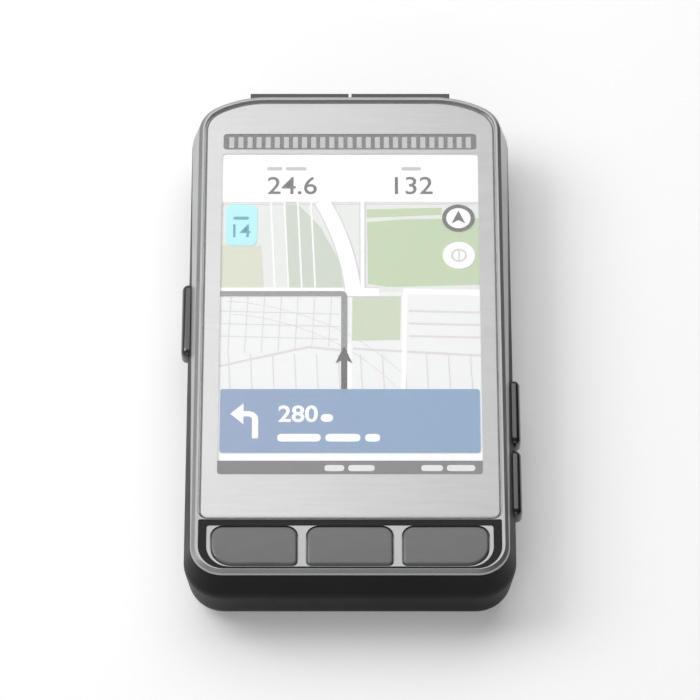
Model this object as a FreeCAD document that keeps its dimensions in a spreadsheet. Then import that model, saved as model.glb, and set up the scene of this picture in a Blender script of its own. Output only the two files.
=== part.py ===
import FreeCAD, Part
import math
import os
import Sketcher
from FreeCAD import Placement, Rotation, Vector

# Cycling computer: a large-screen head unit that clips to a quarter-turn mount.
# Millimetres. The origin is on the axis of the quarter-turn cleat, in the plane of
# the flat back. +X is to the rider's right, +Y is forward along the top edge of the
# screen, and +Z comes out of the screen.

DRIVING = {
    # outer form
    "body_width": 70.0,
    "body_length": 125.0,
    "body_middle": 8.0,
    "crease_height": 12.0,
    "front_height": 19.4,
    "front_taper": 15.12,
    "back_taper": 8.0,
    "back_edge": 6.0,
    "crease_round": 5.0,
    "top_corner": 9.0,
    "top_crown": 24.0,
    "top_turn": 60.0,
    "bottom_corner": 8.5,
    "split_top": 12.2,
    "split_bottom": 18.4,
    # shell structure
    "lap_inset": 3.4,
    "cavity_inset": 4.6,
    "floor_thick": 2.0,
    "floor_edge": 3.0,
    "tongue_top": 16.6,
    "deck_low": 17.4,
    "deck_high": 18.5,
    "fit_gap": 0.1,
    "seam_gap": 0.06,
    "front_edge": 0.6,
    # glass and what lies under it
    "glass_width": 63.6,
    "glass_length": 107.1,
    "glass_middle": 13.85,
    "glass_low": 18.8,
    "glass_high": 20.0,
    "glass_gap": 0.15,
    "glass_corner": 2.0,
    "print_thick": 0.08,
    "print_gap": 0.02,
    "view_width": 56.0,
    "view_length": 82.1,
    "view_middle": 12.45,
    "strip_width": 55.6,
    "strip_height": 4.2,
    "strip_middle": 56.7,
    "window_corner": 0.8,
    "print_inset": 0.55,
    "tape_inset": 0.15,
    "glass_round": 0.35,
    "ledge_width": 59.6,
    "ledge_length": 92.0,
    "ledge_middle": 13.4,
    "ledge_corner": 2.0,
    "panel_width": 59.0,
    "panel_length": 86.2,
    "panel_middle": 11.1,
    "panel_low": 17.2,
    "panel_high": 18.3,
    "tray_low": 15.2,
    "foam_low": 14.7,
    "chassis_low": 13.9,
    # boards
    "board_low": 10.4,
    "board_thick": 1.0,
    "board_width": 58.0,
    "board_bottom": 49.0,
    "board_top": 58.6,
    "step_low": 11.8,
    "key_board_low": 12.6,
    "key_board_high": 13.4,
    # front keys
    "key_pitch": 20.0,
    "key_row": 46.35,
    "key_width": 18.0,
    "key_length": 9.3,
    "key_corner": 2.4,
    "key_inner_corner": 1.0,
    "key_outer_corner": 4.4,
    "key_low": 18.6,
    "key_high": 19.8,
    "key_edge": 0.5,
    "key_stem_width": 16.2,
    "key_stem_length": 7.0,
    "key_stem_low": 16.0,
    "key_gap": 0.22,
    "stem_corner": 1.2,
    "stem_hole_corner": 1.5,
    "stem_gap": 0.3,
    "key_pocket_low": 18.0,
    # side buttons
    "side_height": 11.0,
    "side_tall": 4.8,
    "side_proud": 1.4,
    "side_gap": 0.15,
    "power_place": 14.0,
    "power_long": 18.5,
    "zoom_long": 16.2,
    "zoom_pitch": 17.6,
    "zoom_place": -18.2,
    "side_flange": 1.0,
    "side_flange_thick": 0.6,
    "side_round": 1.6,
    "side_rim": 0.9,
    "side_inset": 0.2,
    "seal_slack": 0.1,
    # quarter-turn dish and cleat
    "dish_radius": 19.5,
    "dish_deep": 4.6,
    "neck_radius": 12.8,
    "ear_radius": 15.4,
    "ear_half_angle": 28.0,
    "ear_low": 0.3,
    "ear_high": 1.9,
    "cleat_screw_side": 6.0,
    "cleat_dimple": 4.0,
    "cleat_dimple_deep": 0.5,
    "cleat_thread_deep": 3.8,
    "cleat_boss_radius": 2.3,
    "cleat_boss_high": 9.2,
    # fasteners
    "shank_radius": 0.95,
    "head_radius": 1.7,
    "head_high": 1.0,
    "screw_clear": 0.25,
    "thread_slack": 0.02,
    "cleat_screw_long": 6.0,
    "board_screw_long": 2.8,
    "chassis_screw_long": 2.7,
    # usb port
    "usb_place": -40.5,
    "usb_shell_wide": 9.0,
    "usb_shell_thick": 3.26,
    "usb_shell_low": 2.6,
    "flap_wide": 18.4,
    "flap_long": 9.0,
    "flap_low": 0.1,
    "flap_high": 1.7,
    "flap_pocket_deep": 1.95,
    "flap_place": -40.9,
    "hinge_bead": 0.8,
    "hinge_place": -36.4,
    # housing details
    "screw_side": 24.5,
    "screw_bottom": -37.0,
    "screw_top": 61.6,
    "screw_seat": 6.0,
    "boss_radius": 2.7,
    "boss_high": 10.0,
    "post_radius": 2.4,
    "post_low": 10.1,
    "lanyard_x": -17.5,
    "lanyard_y": -41.5,
    "lanyard_wide": 7.0,
    "lanyard_long": 5.0,
    "lanyard_deep": 4.0,
    "lanyard_pin": 0.8,
    "speaker_x": 17.5,
    "speaker_y": -28.5,
    "speaker_radius": 6.0,
    "vent_x": -15.0,
    "vent_y": -30.0,
    "vent_radius": 2.5,
    "vent_hole": 0.45,
    "vent_pitch": 1.5,
    "sound_slot_wide": 1.2,
    "sound_slot_long": 6.0,
    "sound_slot_pitch": 2.4,
    "mesh_thick": 0.2,
    "speaker_high": 3.6,
    "duct_x": 8.0,
    "duct_height": 15.0,
    "duct_radius": 1.2,
    "grille_half": 22.0,
    "grille_low": 13.5,
    "grille_high": 18.2,
    "grille_back": 67.95,
    "strip_place": -40.7,
    "seal_low": 18.6,
    "seal_high": 19.25,
    "seal_width": 60.0,
    "seal_length": 1.1,
    "tray_wall": 0.3,
    "foam_width": 54.0,
    "foam_length": 80.0,
    "foam_rim": 4.0,
    "led_pitch": 2.0,
    "led_wide": 1.1,
    "led_long": 3.0,
    "led_guide_low": 16.8,
    "led_guide_thick": 1.2,
    "led_tooth_high": 0.5,
    "dome_base": 3.0,
    "dome_tip": 2.0,
    "key_board_long": 7.0,
    "switch_face": 29.1,
    # inside
    "chassis_bottom": -38.5,
    "chassis_screw_side": 14.0,
    "chassis_screw_low": -36.0,
    "chassis_screw_high": 62.0,
    "board_screw_side": 22.0,
    "board_screw_low": -20.0,
    "board_screw_high": 17.5,
    "ear_span": 34.0,
    "ear_long": 8.0,
    "ear_gap_span": 22.0,
    "flex_place": -33.0,
    "flex_wide": 16.0,
    "flex_thick": 0.2,
    "tab_span": 36.0,
    "tab_long": 11.6,
    "notch_deep": 3.2,
    "notch_extra": 3.0,
    "ear_middle": 60.6,
    "step_middle": -43.6,
    "step_long": 10.6,
    "shield_high": 1.8,
    "shield_sheet": 0.2,
    "chip_high": 1.2,
    "pad_inset": 3.0,
    "lead_place": -8.0,
    "lead_wide": 3.0,
    "lead_thick": 1.0,
    "battery_middle": 40.25,
    "battery_width": 56.0,
    "battery_length": 36.5,
    "battery_low": 2.4,
    "battery_high": 9.4,
    "sensor_y": 61.5,
    "sensor_size": 3.4,
    "antenna_place": 65.6,
    "antenna_span": 34.0,
    "antenna_thick": 0.25,
    "antenna_low": 4.0,
    "antenna_tall": 9.0,
    "tube_bend": 1.8,
    "tube_bore": 0.6,
    "louvre_tall": 0.6,
    "louvre_pitch": 1.3,
    "louvre_end": 2.4,
    "grille_deep_low": 2.4,
    "grille_deep_high": 2.1,
    "grille_split": 0.3,
    "lanyard_pin_height": 1.5,
    "pilot_radius": 0.95,
    "pilot_deep": 4.5,
    "stud_radius": 2.0,
    "stud_pilot": 2.3,
    "small_shank": 0.8,
    "small_head": 1.6,
    "small_head_high": 0.8,
    # back stiffening and power
    "bump_radius": 21.4,
    "bump_high": 6.4,
    "cleat_hole": 0.85,
    "usb_floor": 3.8,
    "usb_chimney_high": 5.4,
    "usb_chimney_wide": 15.0,
    "usb_chimney_thick": 8.8,
    "usb_mouth_wide": 9.5,
    "usb_mouth_thick": 3.8,
    "usb_seal_wide": 11.4,
    "usb_seal_thick": 5.6,
    "usb_seal_low": 4.4,
    "flap_pocket_wide": 19.0,
    "flap_pocket_y": -40.55,
    "flap_pocket_long": 10.3,
    "flap_pocket_corner": 0.6,
    "flap_corner": 1.0,
    "flap_plug_wide": 7.6,
    "flap_plug_thick": 1.9,
    "flap_plug_high": 0.8,
    "usb_sheet": 0.35,
    "usb_corner": 1.5,
    "usb_tongue_wide": 6.7,
    "usb_tongue_thick": 0.7,
    "usb_seal_high": 1.9,
    "wall_thin": 1.2,
    "recess_deep": 1.0,
    "recess_extra": 1.2,
}

doc = FreeCAD.newDocument("CyclingComputer")
sheet = doc.addObject("Spreadsheet::Sheet", "Dims")


class Size:
    """A length or angle that carries its number and the sheet expression it is bound with."""

    def __init__(self, number, text=None):
        self.number = number
        self.text = text if text else repr(float(number))

    @staticmethod
    def of(other):
        """The other operand as a Size."""
        return other if isinstance(other, Size) else Size(float(other))

    def __add__(self, other):
        other = Size.of(other)
        return Size(self.number + other.number, "(%s + %s)" % (self.text, other.text))

    __radd__ = __add__

    def __sub__(self, other):
        other = Size.of(other)
        return Size(self.number - other.number, "(%s - %s)" % (self.text, other.text))

    def __rsub__(self, other):
        return Size.of(other) - self

    def __mul__(self, other):
        other = Size.of(other)
        return Size(self.number * other.number, "(%s * %s)" % (self.text, other.text))

    __rmul__ = __mul__

    def __truediv__(self, other):
        other = Size.of(other)
        return Size(self.number / other.number, "(%s / %s)" % (self.text, other.text))

    def __neg__(self):
        return Size(-self.number, "(0 - %s)" % self.text)


class Dims:
    """The driving dimensions, by name, as Sizes."""


def fill_sheet():
    """Write every driving dimension to the sheet and return them as Sizes."""
    dims = Dims()
    for row, (name, number) in enumerate(DRIVING.items(), start=1):
        sheet.set("A%d" % row, name)
        sheet.set("B%d" % row, str(number))
        sheet.setAlias("B%d" % row, name)
        setattr(dims, name, Size(number, "Dims." + name))
    doc.recompute()
    return dims


d = fill_sheet()
NODES = []


def node(label, thing):
    """Name a finished sub-part; its label names its file."""
    thing.Label = label
    NODES.append(thing)


def bind(thing, name, size):
    """Set a property to a Size and bind it to the sheet."""
    size = Size.of(size)
    thing.setExpression(name, size.text)


# ---------------------------------------------------------------- sketches


def start_body(name):
    """An empty PartDesign body."""
    return doc.addObject("PartDesign::Body", name + "_body")


def sketch_at(body, name, x=0, y=0, z=0, role="XY_Plane"):
    """A sketch on one of the body's origin planes, its own origin moved to x, y, z.

    On the XZ plane the sketch runs along X and Z, and on the YZ plane along Y and Z.
    """
    plane = [item for item in body.Origin.OriginFeatures if item.Role == role][0]
    sketch = body.newObject("Sketcher::SketchObject", name)
    sketch.AttachmentSupport = (plane, [""])
    sketch.MapMode = "FlatFace"
    if role == "XY_Plane":
        offsets = (x, y, z)
    elif role == "XZ_Plane":
        offsets = (x, z, -Size.of(y))
    else:
        offsets = (y, z, x)
    for axis, size in zip("xyz", offsets):
        bind(sketch, "AttachmentOffset.Base." + axis, size)
    return sketch


def dimension(sketch, kind, where, name, size):
    """Add one driving constraint and bind it to the sheet."""
    size = Size.of(size)
    number = math.radians(size.number) if kind == "Angle" else size.number
    index = sketch.addConstraint(Sketcher.Constraint(kind, *where, number))
    sketch.renameConstraint(index, name)
    if kind == "Angle":
        sketch.setExpression("Constraints." + name, size.text + " * 1 deg")
    else:
        sketch.setExpression("Constraints." + name, size.text)


def arc(x, y, radius, start, end):
    """An arc of a circle between two angles in degrees."""
    circle = Part.Circle(Vector(x, y, 0), Vector(0, 0, 1), radius)
    return Part.ArcOfCircle(circle, math.radians(start), math.radians(end))


def line(x0, y0, x1, y1):
    """A straight edge."""
    return Part.LineSegment(Vector(x0, y0, 0), Vector(x1, y1, 0))


def draw_circle(sketch, radius):
    """A circle about the sketch's origin."""
    radius = Size.of(radius)
    sketch.addGeometry(Part.Circle(Vector(0, 0, 0), Vector(0, 0, 1), radius.number))
    sketch.addConstraint(Sketcher.Constraint("Coincident", 0, 3, -1, 1))
    dimension(sketch, "Radius", (0,), "radius", radius)


def draw_rectangle(sketch, width, length, corner=0, bottom_right=None, bottom_left=None):
    """A rectangle about the sketch's origin. Its corners are rounded when a radius is
    given, and the two bottom ones may have radii of their own."""
    width, length, corner = Size.of(width), Size.of(length), Size.of(corner)
    x, y = width.number / 2, length.number / 2
    if corner.number:
        radii = [Size.of(bottom_right or corner), corner, corner, Size.of(bottom_left or corner)]
        a, b, c, e = [radius.number for radius in radii]
        sketch.addGeometry([
            line(-x + e, -y, x - a, -y), arc(x - a, -y + a, a, 270, 360),
            line(x, -y + a, x, y - b), arc(x - b, y - b, b, 0, 90),
            line(x - b, y, -x + c, y), arc(-x + c, y - c, c, 90, 180),
            line(-x, y - c, -x, -y + e), arc(-x + e, -y + e, e, 180, 270)])
        joint, sides = "Tangent", (0, 2, 4, 6)
        for place_in_turn, radius in enumerate(radii):
            dimension(sketch, "Radius", (2 * place_in_turn + 1,), "corner_%d" % place_in_turn, radius)
    else:
        sketch.addGeometry([line(-x, -y, x, -y), line(x, -y, x, y),
                            line(x, y, -x, y), line(-x, y, -x, -y)])
        joint, sides = "Coincident", (0, 1, 2, 3)
    count = sketch.GeometryCount
    for index in range(count):
        sketch.addConstraint(Sketcher.Constraint(joint, index, 2, (index + 1) % count, 1))
    for index, kind in zip(sides, ("Horizontal", "Vertical") * 2):
        sketch.addConstraint(Sketcher.Constraint(kind, index))
    dimension(sketch, "DistanceX", (sides[3], 1, sides[1], 1), "width", width)
    dimension(sketch, "DistanceY", (sides[0], 1, sides[2], 1), "length", length)
    dimension(sketch, "DistanceX", (-1, 1, sides[1], 1), "half_width", width / 2)
    dimension(sketch, "DistanceY", (sides[0], 1, -1, 1), "half_length", length / 2)


def draw_form(sketch, width, length, corner, crown, bottom):
    """The head unit's outline: a straight bottom with round corners, straight sides, and
    a top whose corners are two tangent arcs, tight at the side and wide at the top."""
    turn = d.top_turn
    x, y = width.number / 2, length.number / 2
    rc, rk, rb, angle = corner.number, crown.number, bottom.number, turn.number
    reach = rk - rc
    low = y - rk + reach * math.sin(math.radians(angle))
    wide = x - rc
    narrow = wide - reach * math.cos(math.radians(angle))
    sketch.addGeometry([
        line(-x + rb, -y, x - rb, -y),
        arc(x - rb, -y + rb, rb, 270, 360),
        line(x, -y + rb, x, low),
        arc(wide, low, rc, 0, angle),
        arc(narrow, y - rk, rk, angle, 90),
        line(narrow, y, -narrow, y),
        arc(-narrow, y - rk, rk, 90, 180 - angle),
        arc(-wide, low, rc, 180 - angle, 180),
        line(-x, low, -x, -y + rb),
        arc(-x + rb, -y + rb, rb, 180, 270)])
    count = sketch.GeometryCount
    for index in range(count):
        sketch.addConstraint(Sketcher.Constraint("Tangent", index, 2, (index + 1) % count, 1))
    for kind, index in (("Horizontal", 0), ("Horizontal", 5), ("Vertical", 2), ("Vertical", 8)):
        sketch.addConstraint(Sketcher.Constraint(kind, index))
    for first, second in ((1, 9), (3, 7), (4, 6)):
        sketch.addConstraint(Sketcher.Constraint("Equal", first, second))
    dimension(sketch, "Angle", (3,), "right_turn", turn)
    dimension(sketch, "Angle", (7,), "left_turn", turn)
    dimension(sketch, "Radius", (3,), "corner", corner)
    dimension(sketch, "Radius", (4,), "crown", crown)
    dimension(sketch, "Radius", (1,), "bottom", bottom)
    dimension(sketch, "DistanceX", (8, 1, 2, 1), "width", width)
    dimension(sketch, "DistanceX", (-1, 1, 2, 1), "half_width", width / 2)
    dimension(sketch, "DistanceY", (0, 1, 5, 1), "length", length)
    dimension(sketch, "DistanceY", (0, 1, -1, 1), "half_length", length / 2)


def form_sketch(body, name, inset, z):
    """The outline of the head unit drawn inset from its widest line, at height z."""
    sketch = sketch_at(body, name, 0, d.body_middle, z)
    inset = Size.of(inset)
    draw_form(sketch, d.body_width - 2 * inset, d.body_length - 2 * inset,
              d.top_corner - inset, d.top_crown - inset, d.bottom_corner - inset)
    return sketch


def offset_from_origin(sketch, kind, index, name, size):
    """Hold a circle's centre a signed distance from the sketch's origin along one axis."""
    size = Size.of(size)
    if abs(size.number) < 1e-9:
        axis = -2 if kind == "DistanceX" else -1
        sketch.addConstraint(Sketcher.Constraint("PointOnObject", index, 3, axis))
    elif size.number > 0:
        dimension(sketch, kind, (-1, 1, index, 3), name, size)
    else:
        dimension(sketch, kind, (index, 3, -1, 1), name, -size)


def draw_circles(sketch, spots, radius):
    """A circle of one radius at each spot."""
    radius = Size.of(radius)
    for index, (x, y) in enumerate(spots):
        x, y = Size.of(x), Size.of(y)
        centre = Vector(x.number, y.number, 0)
        sketch.addGeometry(Part.Circle(centre, Vector(0, 0, 1), radius.number))
        offset_from_origin(sketch, "DistanceX", index, "x_%d" % index, x)
        offset_from_origin(sketch, "DistanceY", index, "y_%d" % index, y)
        dimension(sketch, "Radius", (index,), "radius_%d" % index, radius)


def draw_wedge(sketch, reach, base, left, right):
    """A flat-based shape from -reach to reach whose far side slopes from left to right."""
    heights = [base.number, left.number, right.number]
    sketch.addGeometry([
        line(-reach.number, heights[0], reach.number, heights[0]),
        line(reach.number, heights[0], reach.number, heights[2]),
        line(reach.number, heights[2], -reach.number, heights[1]),
        line(-reach.number, heights[1], -reach.number, heights[0])])
    for index in range(4):
        sketch.addConstraint(Sketcher.Constraint("Coincident", index, 2, (index + 1) % 4, 1))
    for kind, index in (("Horizontal", 0), ("Vertical", 1), ("Vertical", 3)):
        sketch.addConstraint(Sketcher.Constraint(kind, index))
    dimension(sketch, "DistanceX", (0, 1, 0, 2), "width", reach * 2)
    dimension(sketch, "DistanceX", (-1, 1, 0, 2), "reach", reach)
    dimension(sketch, "DistanceY", (-1, 1, 0, 1), "base", base)
    dimension(sketch, "DistanceY", (-1, 1, 1, 2), "right", right)
    dimension(sketch, "DistanceY", (-1, 1, 3, 1), "left", left)


def rectangle_sketch(body, name, x, y, z, width, length, corner=0, role="XY_Plane"):
    """A rectangle, rounded or not, centred at x, y, z."""
    sketch = sketch_at(body, name, x, y, z, role)
    draw_rectangle(sketch, width, length, corner)
    return sketch


def circles_sketch(body, name, spots, z, radius):
    """Circles of one radius at several spots, at height z."""
    sketch = sketch_at(body, name, 0, 0, z)
    draw_circles(sketch, spots, radius)
    return sketch


def circle_sketch(body, name, x, y, z, radius, role="XY_Plane"):
    """A circle centred at x, y, z."""
    sketch = sketch_at(body, name, x, y, z, role)
    draw_circle(sketch, radius)
    return sketch


# ---------------------------------------------------------------- features


def pad(body, sketch, length, taper=0, back=False, both=False):
    """Raise a sketch along its normal, or against it when back, or half each way."""
    feature = body.newObject("PartDesign::Pad", sketch.Name + "_pad")
    feature.Profile = sketch
    feature.Reversed = back
    if both:
        feature.SideType = "Symmetric"
    bind(feature, "Length", length)
    if taper:
        bind(feature, "TaperAngle", taper)
    return finish(body, feature)


def pocket(body, sketch, length, back=False, both=False):
    """Cut a sketch along its normal, or against it when back, or half each way."""
    before = body.Shape.Volume
    feature = body.newObject("PartDesign::Pocket", sketch.Name + "_pocket")
    feature.Profile = sketch
    feature.Reversed = not back
    if both:
        feature.SideType = "Symmetric"
    bind(feature, "Length", length)
    finish(body, feature)
    if not body.Shape.Volume < before - 1e-4:
        raise RuntimeError(sketch.Name + " cuts nothing")
    return feature


def finish(body, feature):
    """Make a feature the body's tip, recompute, and stop if it failed."""
    body.Tip = feature
    doc.recompute()
    if "Invalid" in feature.State or "Error" in feature.State:
        raise RuntimeError(feature.Name + " failed")
    return feature


def edges_where(shape, test):
    """Names of the edges that pass a test."""
    return ["Edge%d" % (number + 1) for number, edge in enumerate(shape.Edges) if test(edge)]


def at_height(z, tolerance=1e-3):
    """A test for edges that lie wholly in the plane at height z."""
    z = Size.of(z).number
    return lambda edge: all(abs(vertex.Z - z) < tolerance for vertex in edge.Vertexes)


def dress(body, kind, size, test):
    """Fillet or chamfer the edges that pass a test."""
    base = body.Tip
    names = edges_where(base.Shape, test)
    if not names:
        raise RuntimeError(body.Name + " has no such edge")
    feature = body.newObject("PartDesign::" + kind, "%s_%s" % (body.Name, kind.lower()))
    feature.Base = (base, names)
    bind(feature, "Radius" if kind == "Fillet" else "Size", size)
    return finish(body, feature)


# ---------------------------------------------------------------- primitives


def place(thing, x, y, z):
    """Bind a primitive's position."""
    for axis, size in zip("xyz", (x, y, z)):
        bind(thing, ".Placement.Base." + axis, size)


def block(name, x, y, z, width, length, height):
    """A box centred at x, y, standing on z."""
    box = doc.addObject("Part::Box", name)
    bind(box, "Length", width)
    bind(box, "Width", length)
    bind(box, "Height", height)
    place(box, Size.of(x) - Size.of(width) / 2, Size.of(y) - Size.of(length) / 2, z)
    return box


def rod(name, x, y, z, radius, length, axis="z"):
    """A cylinder from x, y, z along an axis."""
    turns = {"z": Rotation(), "x": Rotation(Vector(0, 1, 0), 90),
             "y": Rotation(Vector(1, 0, 0), -90)}
    cylinder = doc.addObject("Part::Cylinder", name)
    bind(cylinder, "Radius", radius)
    bind(cylinder, "Height", length)
    cylinder.Placement = Placement(Vector(0, 0, 0), turns[axis])
    place(cylinder, x, y, z)
    return cylinder


def cut(name, base, tool):
    """Take one object away from another."""
    result = doc.addObject("Part::Cut", name)
    result.Base = base
    result.Tool = tool
    return result


def fuse(name, things):
    """Join several objects into one."""
    result = doc.addObject("Part::MultiFuse", name)
    result.Shapes = things
    return result


def group(name, things):
    """Several separate solids as one object."""
    result = doc.addObject("Part::Compound", name)
    result.Links = things
    return result


def four_spots(x, low, high):
    """A pair of places at plus and minus x on each of two rows along Y."""
    return [(side * x, row) for row in (low, high) for side in (-1, 1)]


# ---------------------------------------------------------------- shared places

# how far a cutting shape reaches past what it cuts
BEYOND = 2.0
SIDE_BUTTONS = {
    # side (-1 left, 1 right), place along Y, length
    "power_button": (-1, d.power_place, d.power_long),
    "zoom_out_button": (1, d.zoom_place - d.zoom_pitch / 2, d.zoom_long),
    "zoom_in_button": (1, d.zoom_place + d.zoom_pitch / 2, d.zoom_long),
}
LIGHTS = 27
KEYS = {"left_key": -1, "centre_key": 0, "right_key": 1}
HOUSING_SCREWS = four_spots(d.screw_side, d.screw_bottom, d.screw_top)
CHASSIS_SCREWS = four_spots(d.chassis_screw_side, d.chassis_screw_low, d.chassis_screw_high)
BOARD_SCREWS = four_spots(d.board_screw_side, d.board_screw_low, d.board_screw_high)
CLEAT_SCREWS = four_spots(d.cleat_screw_side, -d.cleat_screw_side, d.cleat_screw_side)


def outer_form(body):
    """The outer form: widest at the crease, tapering to the front and to the back, with a
    round back edge and a softened crease."""
    pad(body, form_sketch(body, "form_front", 0, d.crease_height),
        d.front_height - d.crease_height, -d.front_taper)
    pad(body, form_sketch(body, "form_back", 0, d.crease_height),
        d.crease_height, -d.back_taper, back=True)
    dress(body, "Fillet", d.back_edge, at_height(0))
    dress(body, "Fillet", d.crease_round, at_height(d.crease_height))


def split_cut(body, keep_above, gap):
    """Cut away what lies under, or over, the sloping split between frame and housing."""
    reach = d.body_length / 2 + BEYOND
    middle = (d.split_top + d.split_bottom) / 2 + gap
    rise = (d.split_bottom - d.split_top) / d.body_length * reach
    sketch = sketch_at(body, "split", 0, d.body_middle, -BEYOND, "YZ_Plane")
    base = Size.of(1.0) if keep_above else d.glass_high + 2 * BEYOND
    draw_wedge(sketch, reach, base, middle + rise + BEYOND, middle - rise + BEYOND)
    pocket(body, sketch, d.body_width + 2 * BEYOND, both=True)


# ---------------------------------------------------------------- front frame


def cut_glass_seat(body):
    """The recess the glass drops into, and the window through the deck under it."""
    inset = (d.body_width - d.glass_width) / 2 - d.glass_gap
    seat = sketch_at(body, "glass_seat", 0, d.glass_middle, d.deck_high)
    draw_form(seat, d.glass_width + 2 * d.glass_gap, d.glass_length + 2 * d.glass_gap,
              d.top_corner - inset, d.top_crown - inset, d.glass_corner + d.glass_gap)
    pocket(body, seat, BEYOND)
    window = rectangle_sketch(body, "deck_window", 0, d.ledge_middle, d.deck_low,
                              d.ledge_width, d.ledge_length, d.ledge_corner)
    pocket(body, window, BEYOND)


def key_radii(side):
    """Bottom-right and bottom-left corner radii of the key on one side of the row."""
    right = d.key_outer_corner if side == 1 else d.key_inner_corner
    left = d.key_outer_corner if side == -1 else d.key_inner_corner
    return right, left


def cut_key_pockets(body):
    """A pocket and a stem hole for each front key, and the groove of the strip above them."""
    for name, side in KEYS.items():
        right, left = key_radii(side)
        gap = d.key_gap
        cap = sketch_at(body, name + "_pocket", side * d.key_pitch, -d.key_row, d.key_pocket_low)
        draw_rectangle(cap, d.key_width + 2 * gap, d.key_length + 2 * gap,
                       d.key_corner + gap, right + gap, left + gap)
        pocket(body, cap, BEYOND)
        stem = rectangle_sketch(body, name + "_hole", side * d.key_pitch, -d.key_row, d.deck_low,
                                d.key_stem_width + 2 * d.stem_gap,
                                d.key_stem_length + 2 * d.stem_gap, d.stem_hole_corner)
        pocket(body, stem, BEYOND)
    groove = rectangle_sketch(body, "strip_groove", 0, d.strip_place, d.seal_low,
                              d.seal_width + 2 * d.fit_gap, d.seal_length + 2 * d.fit_gap, 0.5)
    pocket(body, groove, BEYOND)


def cut_grille_seat(body):
    """The slot in the top end wall for the intake grille, and the air hole behind it."""
    middle = (d.grille_low + d.grille_high) / 2
    slot = rectangle_sketch(body, "grille_seat", 0, d.grille_back, middle,
                            (d.grille_half + d.fit_gap) * 2, d.grille_high - d.grille_low, 0.1,
                            "XZ_Plane")
    pocket(body, slot, 2 * BEYOND, back=True)
    hole = circle_sketch(body, "air_hole", d.duct_x, d.grille_back, d.duct_height,
                         d.duct_radius, "XZ_Plane")
    pocket(body, hole, BEYOND)


def front_frame():
    """Silver front frame: outer skirt, deck under the glass, key pockets and screw posts."""
    body = start_body("front_frame")
    outer_form(body)
    dress(body, "Chamfer", d.front_edge, at_height(d.front_height))
    split_cut(body, True, Size.of(0))
    pocket(body, form_sketch(body, "under_deck", d.lap_inset, d.deck_low), d.front_height,
           back=True)
    pad(body, form_sketch(body, "deck", d.lap_inset + d.fit_gap, d.deck_low),
        d.front_height - d.deck_low)
    cut_glass_seat(body)
    cut_key_pockets(body)
    cut_grille_seat(body)
    pad(body, circles_sketch(body, "posts", HOUSING_SCREWS, d.post_low, d.post_radius),
        d.deck_low - d.post_low)
    pocket(body, circles_sketch(body, "pilots", HOUSING_SCREWS, d.post_low, d.pilot_radius),
           d.pilot_deep)
    pad(body, circles_sketch(body, "studs", CHASSIS_SCREWS, d.foam_low, d.stud_radius),
        d.deck_low - d.foam_low)
    pocket(body, circles_sketch(body, "stud_holes", CHASSIS_SCREWS, d.foam_low, d.small_shank),
           d.stud_pilot)
    node("front_frame", body)


# ---------------------------------------------------------------- rear housing


def cut_side_openings(body):
    """Through each side wall, an opening for its button and a wider recess inside for a seal."""
    wall = d.body_width / 2 - d.cavity_inset
    for name, (side, y, length) in SIDE_BUTTONS.items():
        back = side == -1
        hole = rectangle_sketch(body, name + "_opening", side * (wall - 1.0), y, d.side_height,
                                length + 2 * d.side_gap, d.side_tall + 2 * d.side_gap,
                                d.side_round, "YZ_Plane")
        pocket(body, hole, d.cavity_inset + BEYOND, back=back)
        recess = rectangle_sketch(body, name + "_recess", side * (wall - 1.0), y, d.side_height,
                                  length + d.recess_extra, d.side_tall + d.recess_extra,
                                  d.side_round, "YZ_Plane")
        pocket(body, recess, 1.0 + d.recess_deep, back=back)


def raise_inner_walls(body):
    """Raised floors over the dish, the port, the lanyard pocket and under the screws."""
    floor = d.floor_thick - d.fit_gap
    pad(body, circle_sketch(body, "dish_bump", 0, 0, floor, d.bump_radius),
        d.bump_high - floor)
    pad(body, circles_sketch(body, "cleat_bosses", CLEAT_SCREWS, d.bump_high - d.fit_gap,
                             d.cleat_boss_radius), d.cleat_boss_high - d.bump_high + d.fit_gap)
    pad(body, rectangle_sketch(body, "port_floor", 0, d.flap_pocket_y, floor,
                               d.flap_pocket_wide + 2 * d.wall_thin,
                               d.flap_pocket_long + 2 * d.wall_thin, 1.5), d.usb_floor - floor)
    pad(body, rectangle_sketch(body, "port_chimney", 0, d.usb_place, floor, d.usb_chimney_wide,
                               d.usb_chimney_thick, 1.5), d.usb_chimney_high - floor)
    pad(body, rectangle_sketch(body, "lanyard_box", d.lanyard_x, d.lanyard_y, floor,
                               d.lanyard_wide + 2 * d.wall_thin,
                               d.lanyard_long + 2 * d.wall_thin, 1.0),
        d.lanyard_deep + d.wall_thin - floor)
    pad(body, circles_sketch(body, "screw_bosses", HOUSING_SCREWS, floor, d.boss_radius),
        d.boss_high - floor)


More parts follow.
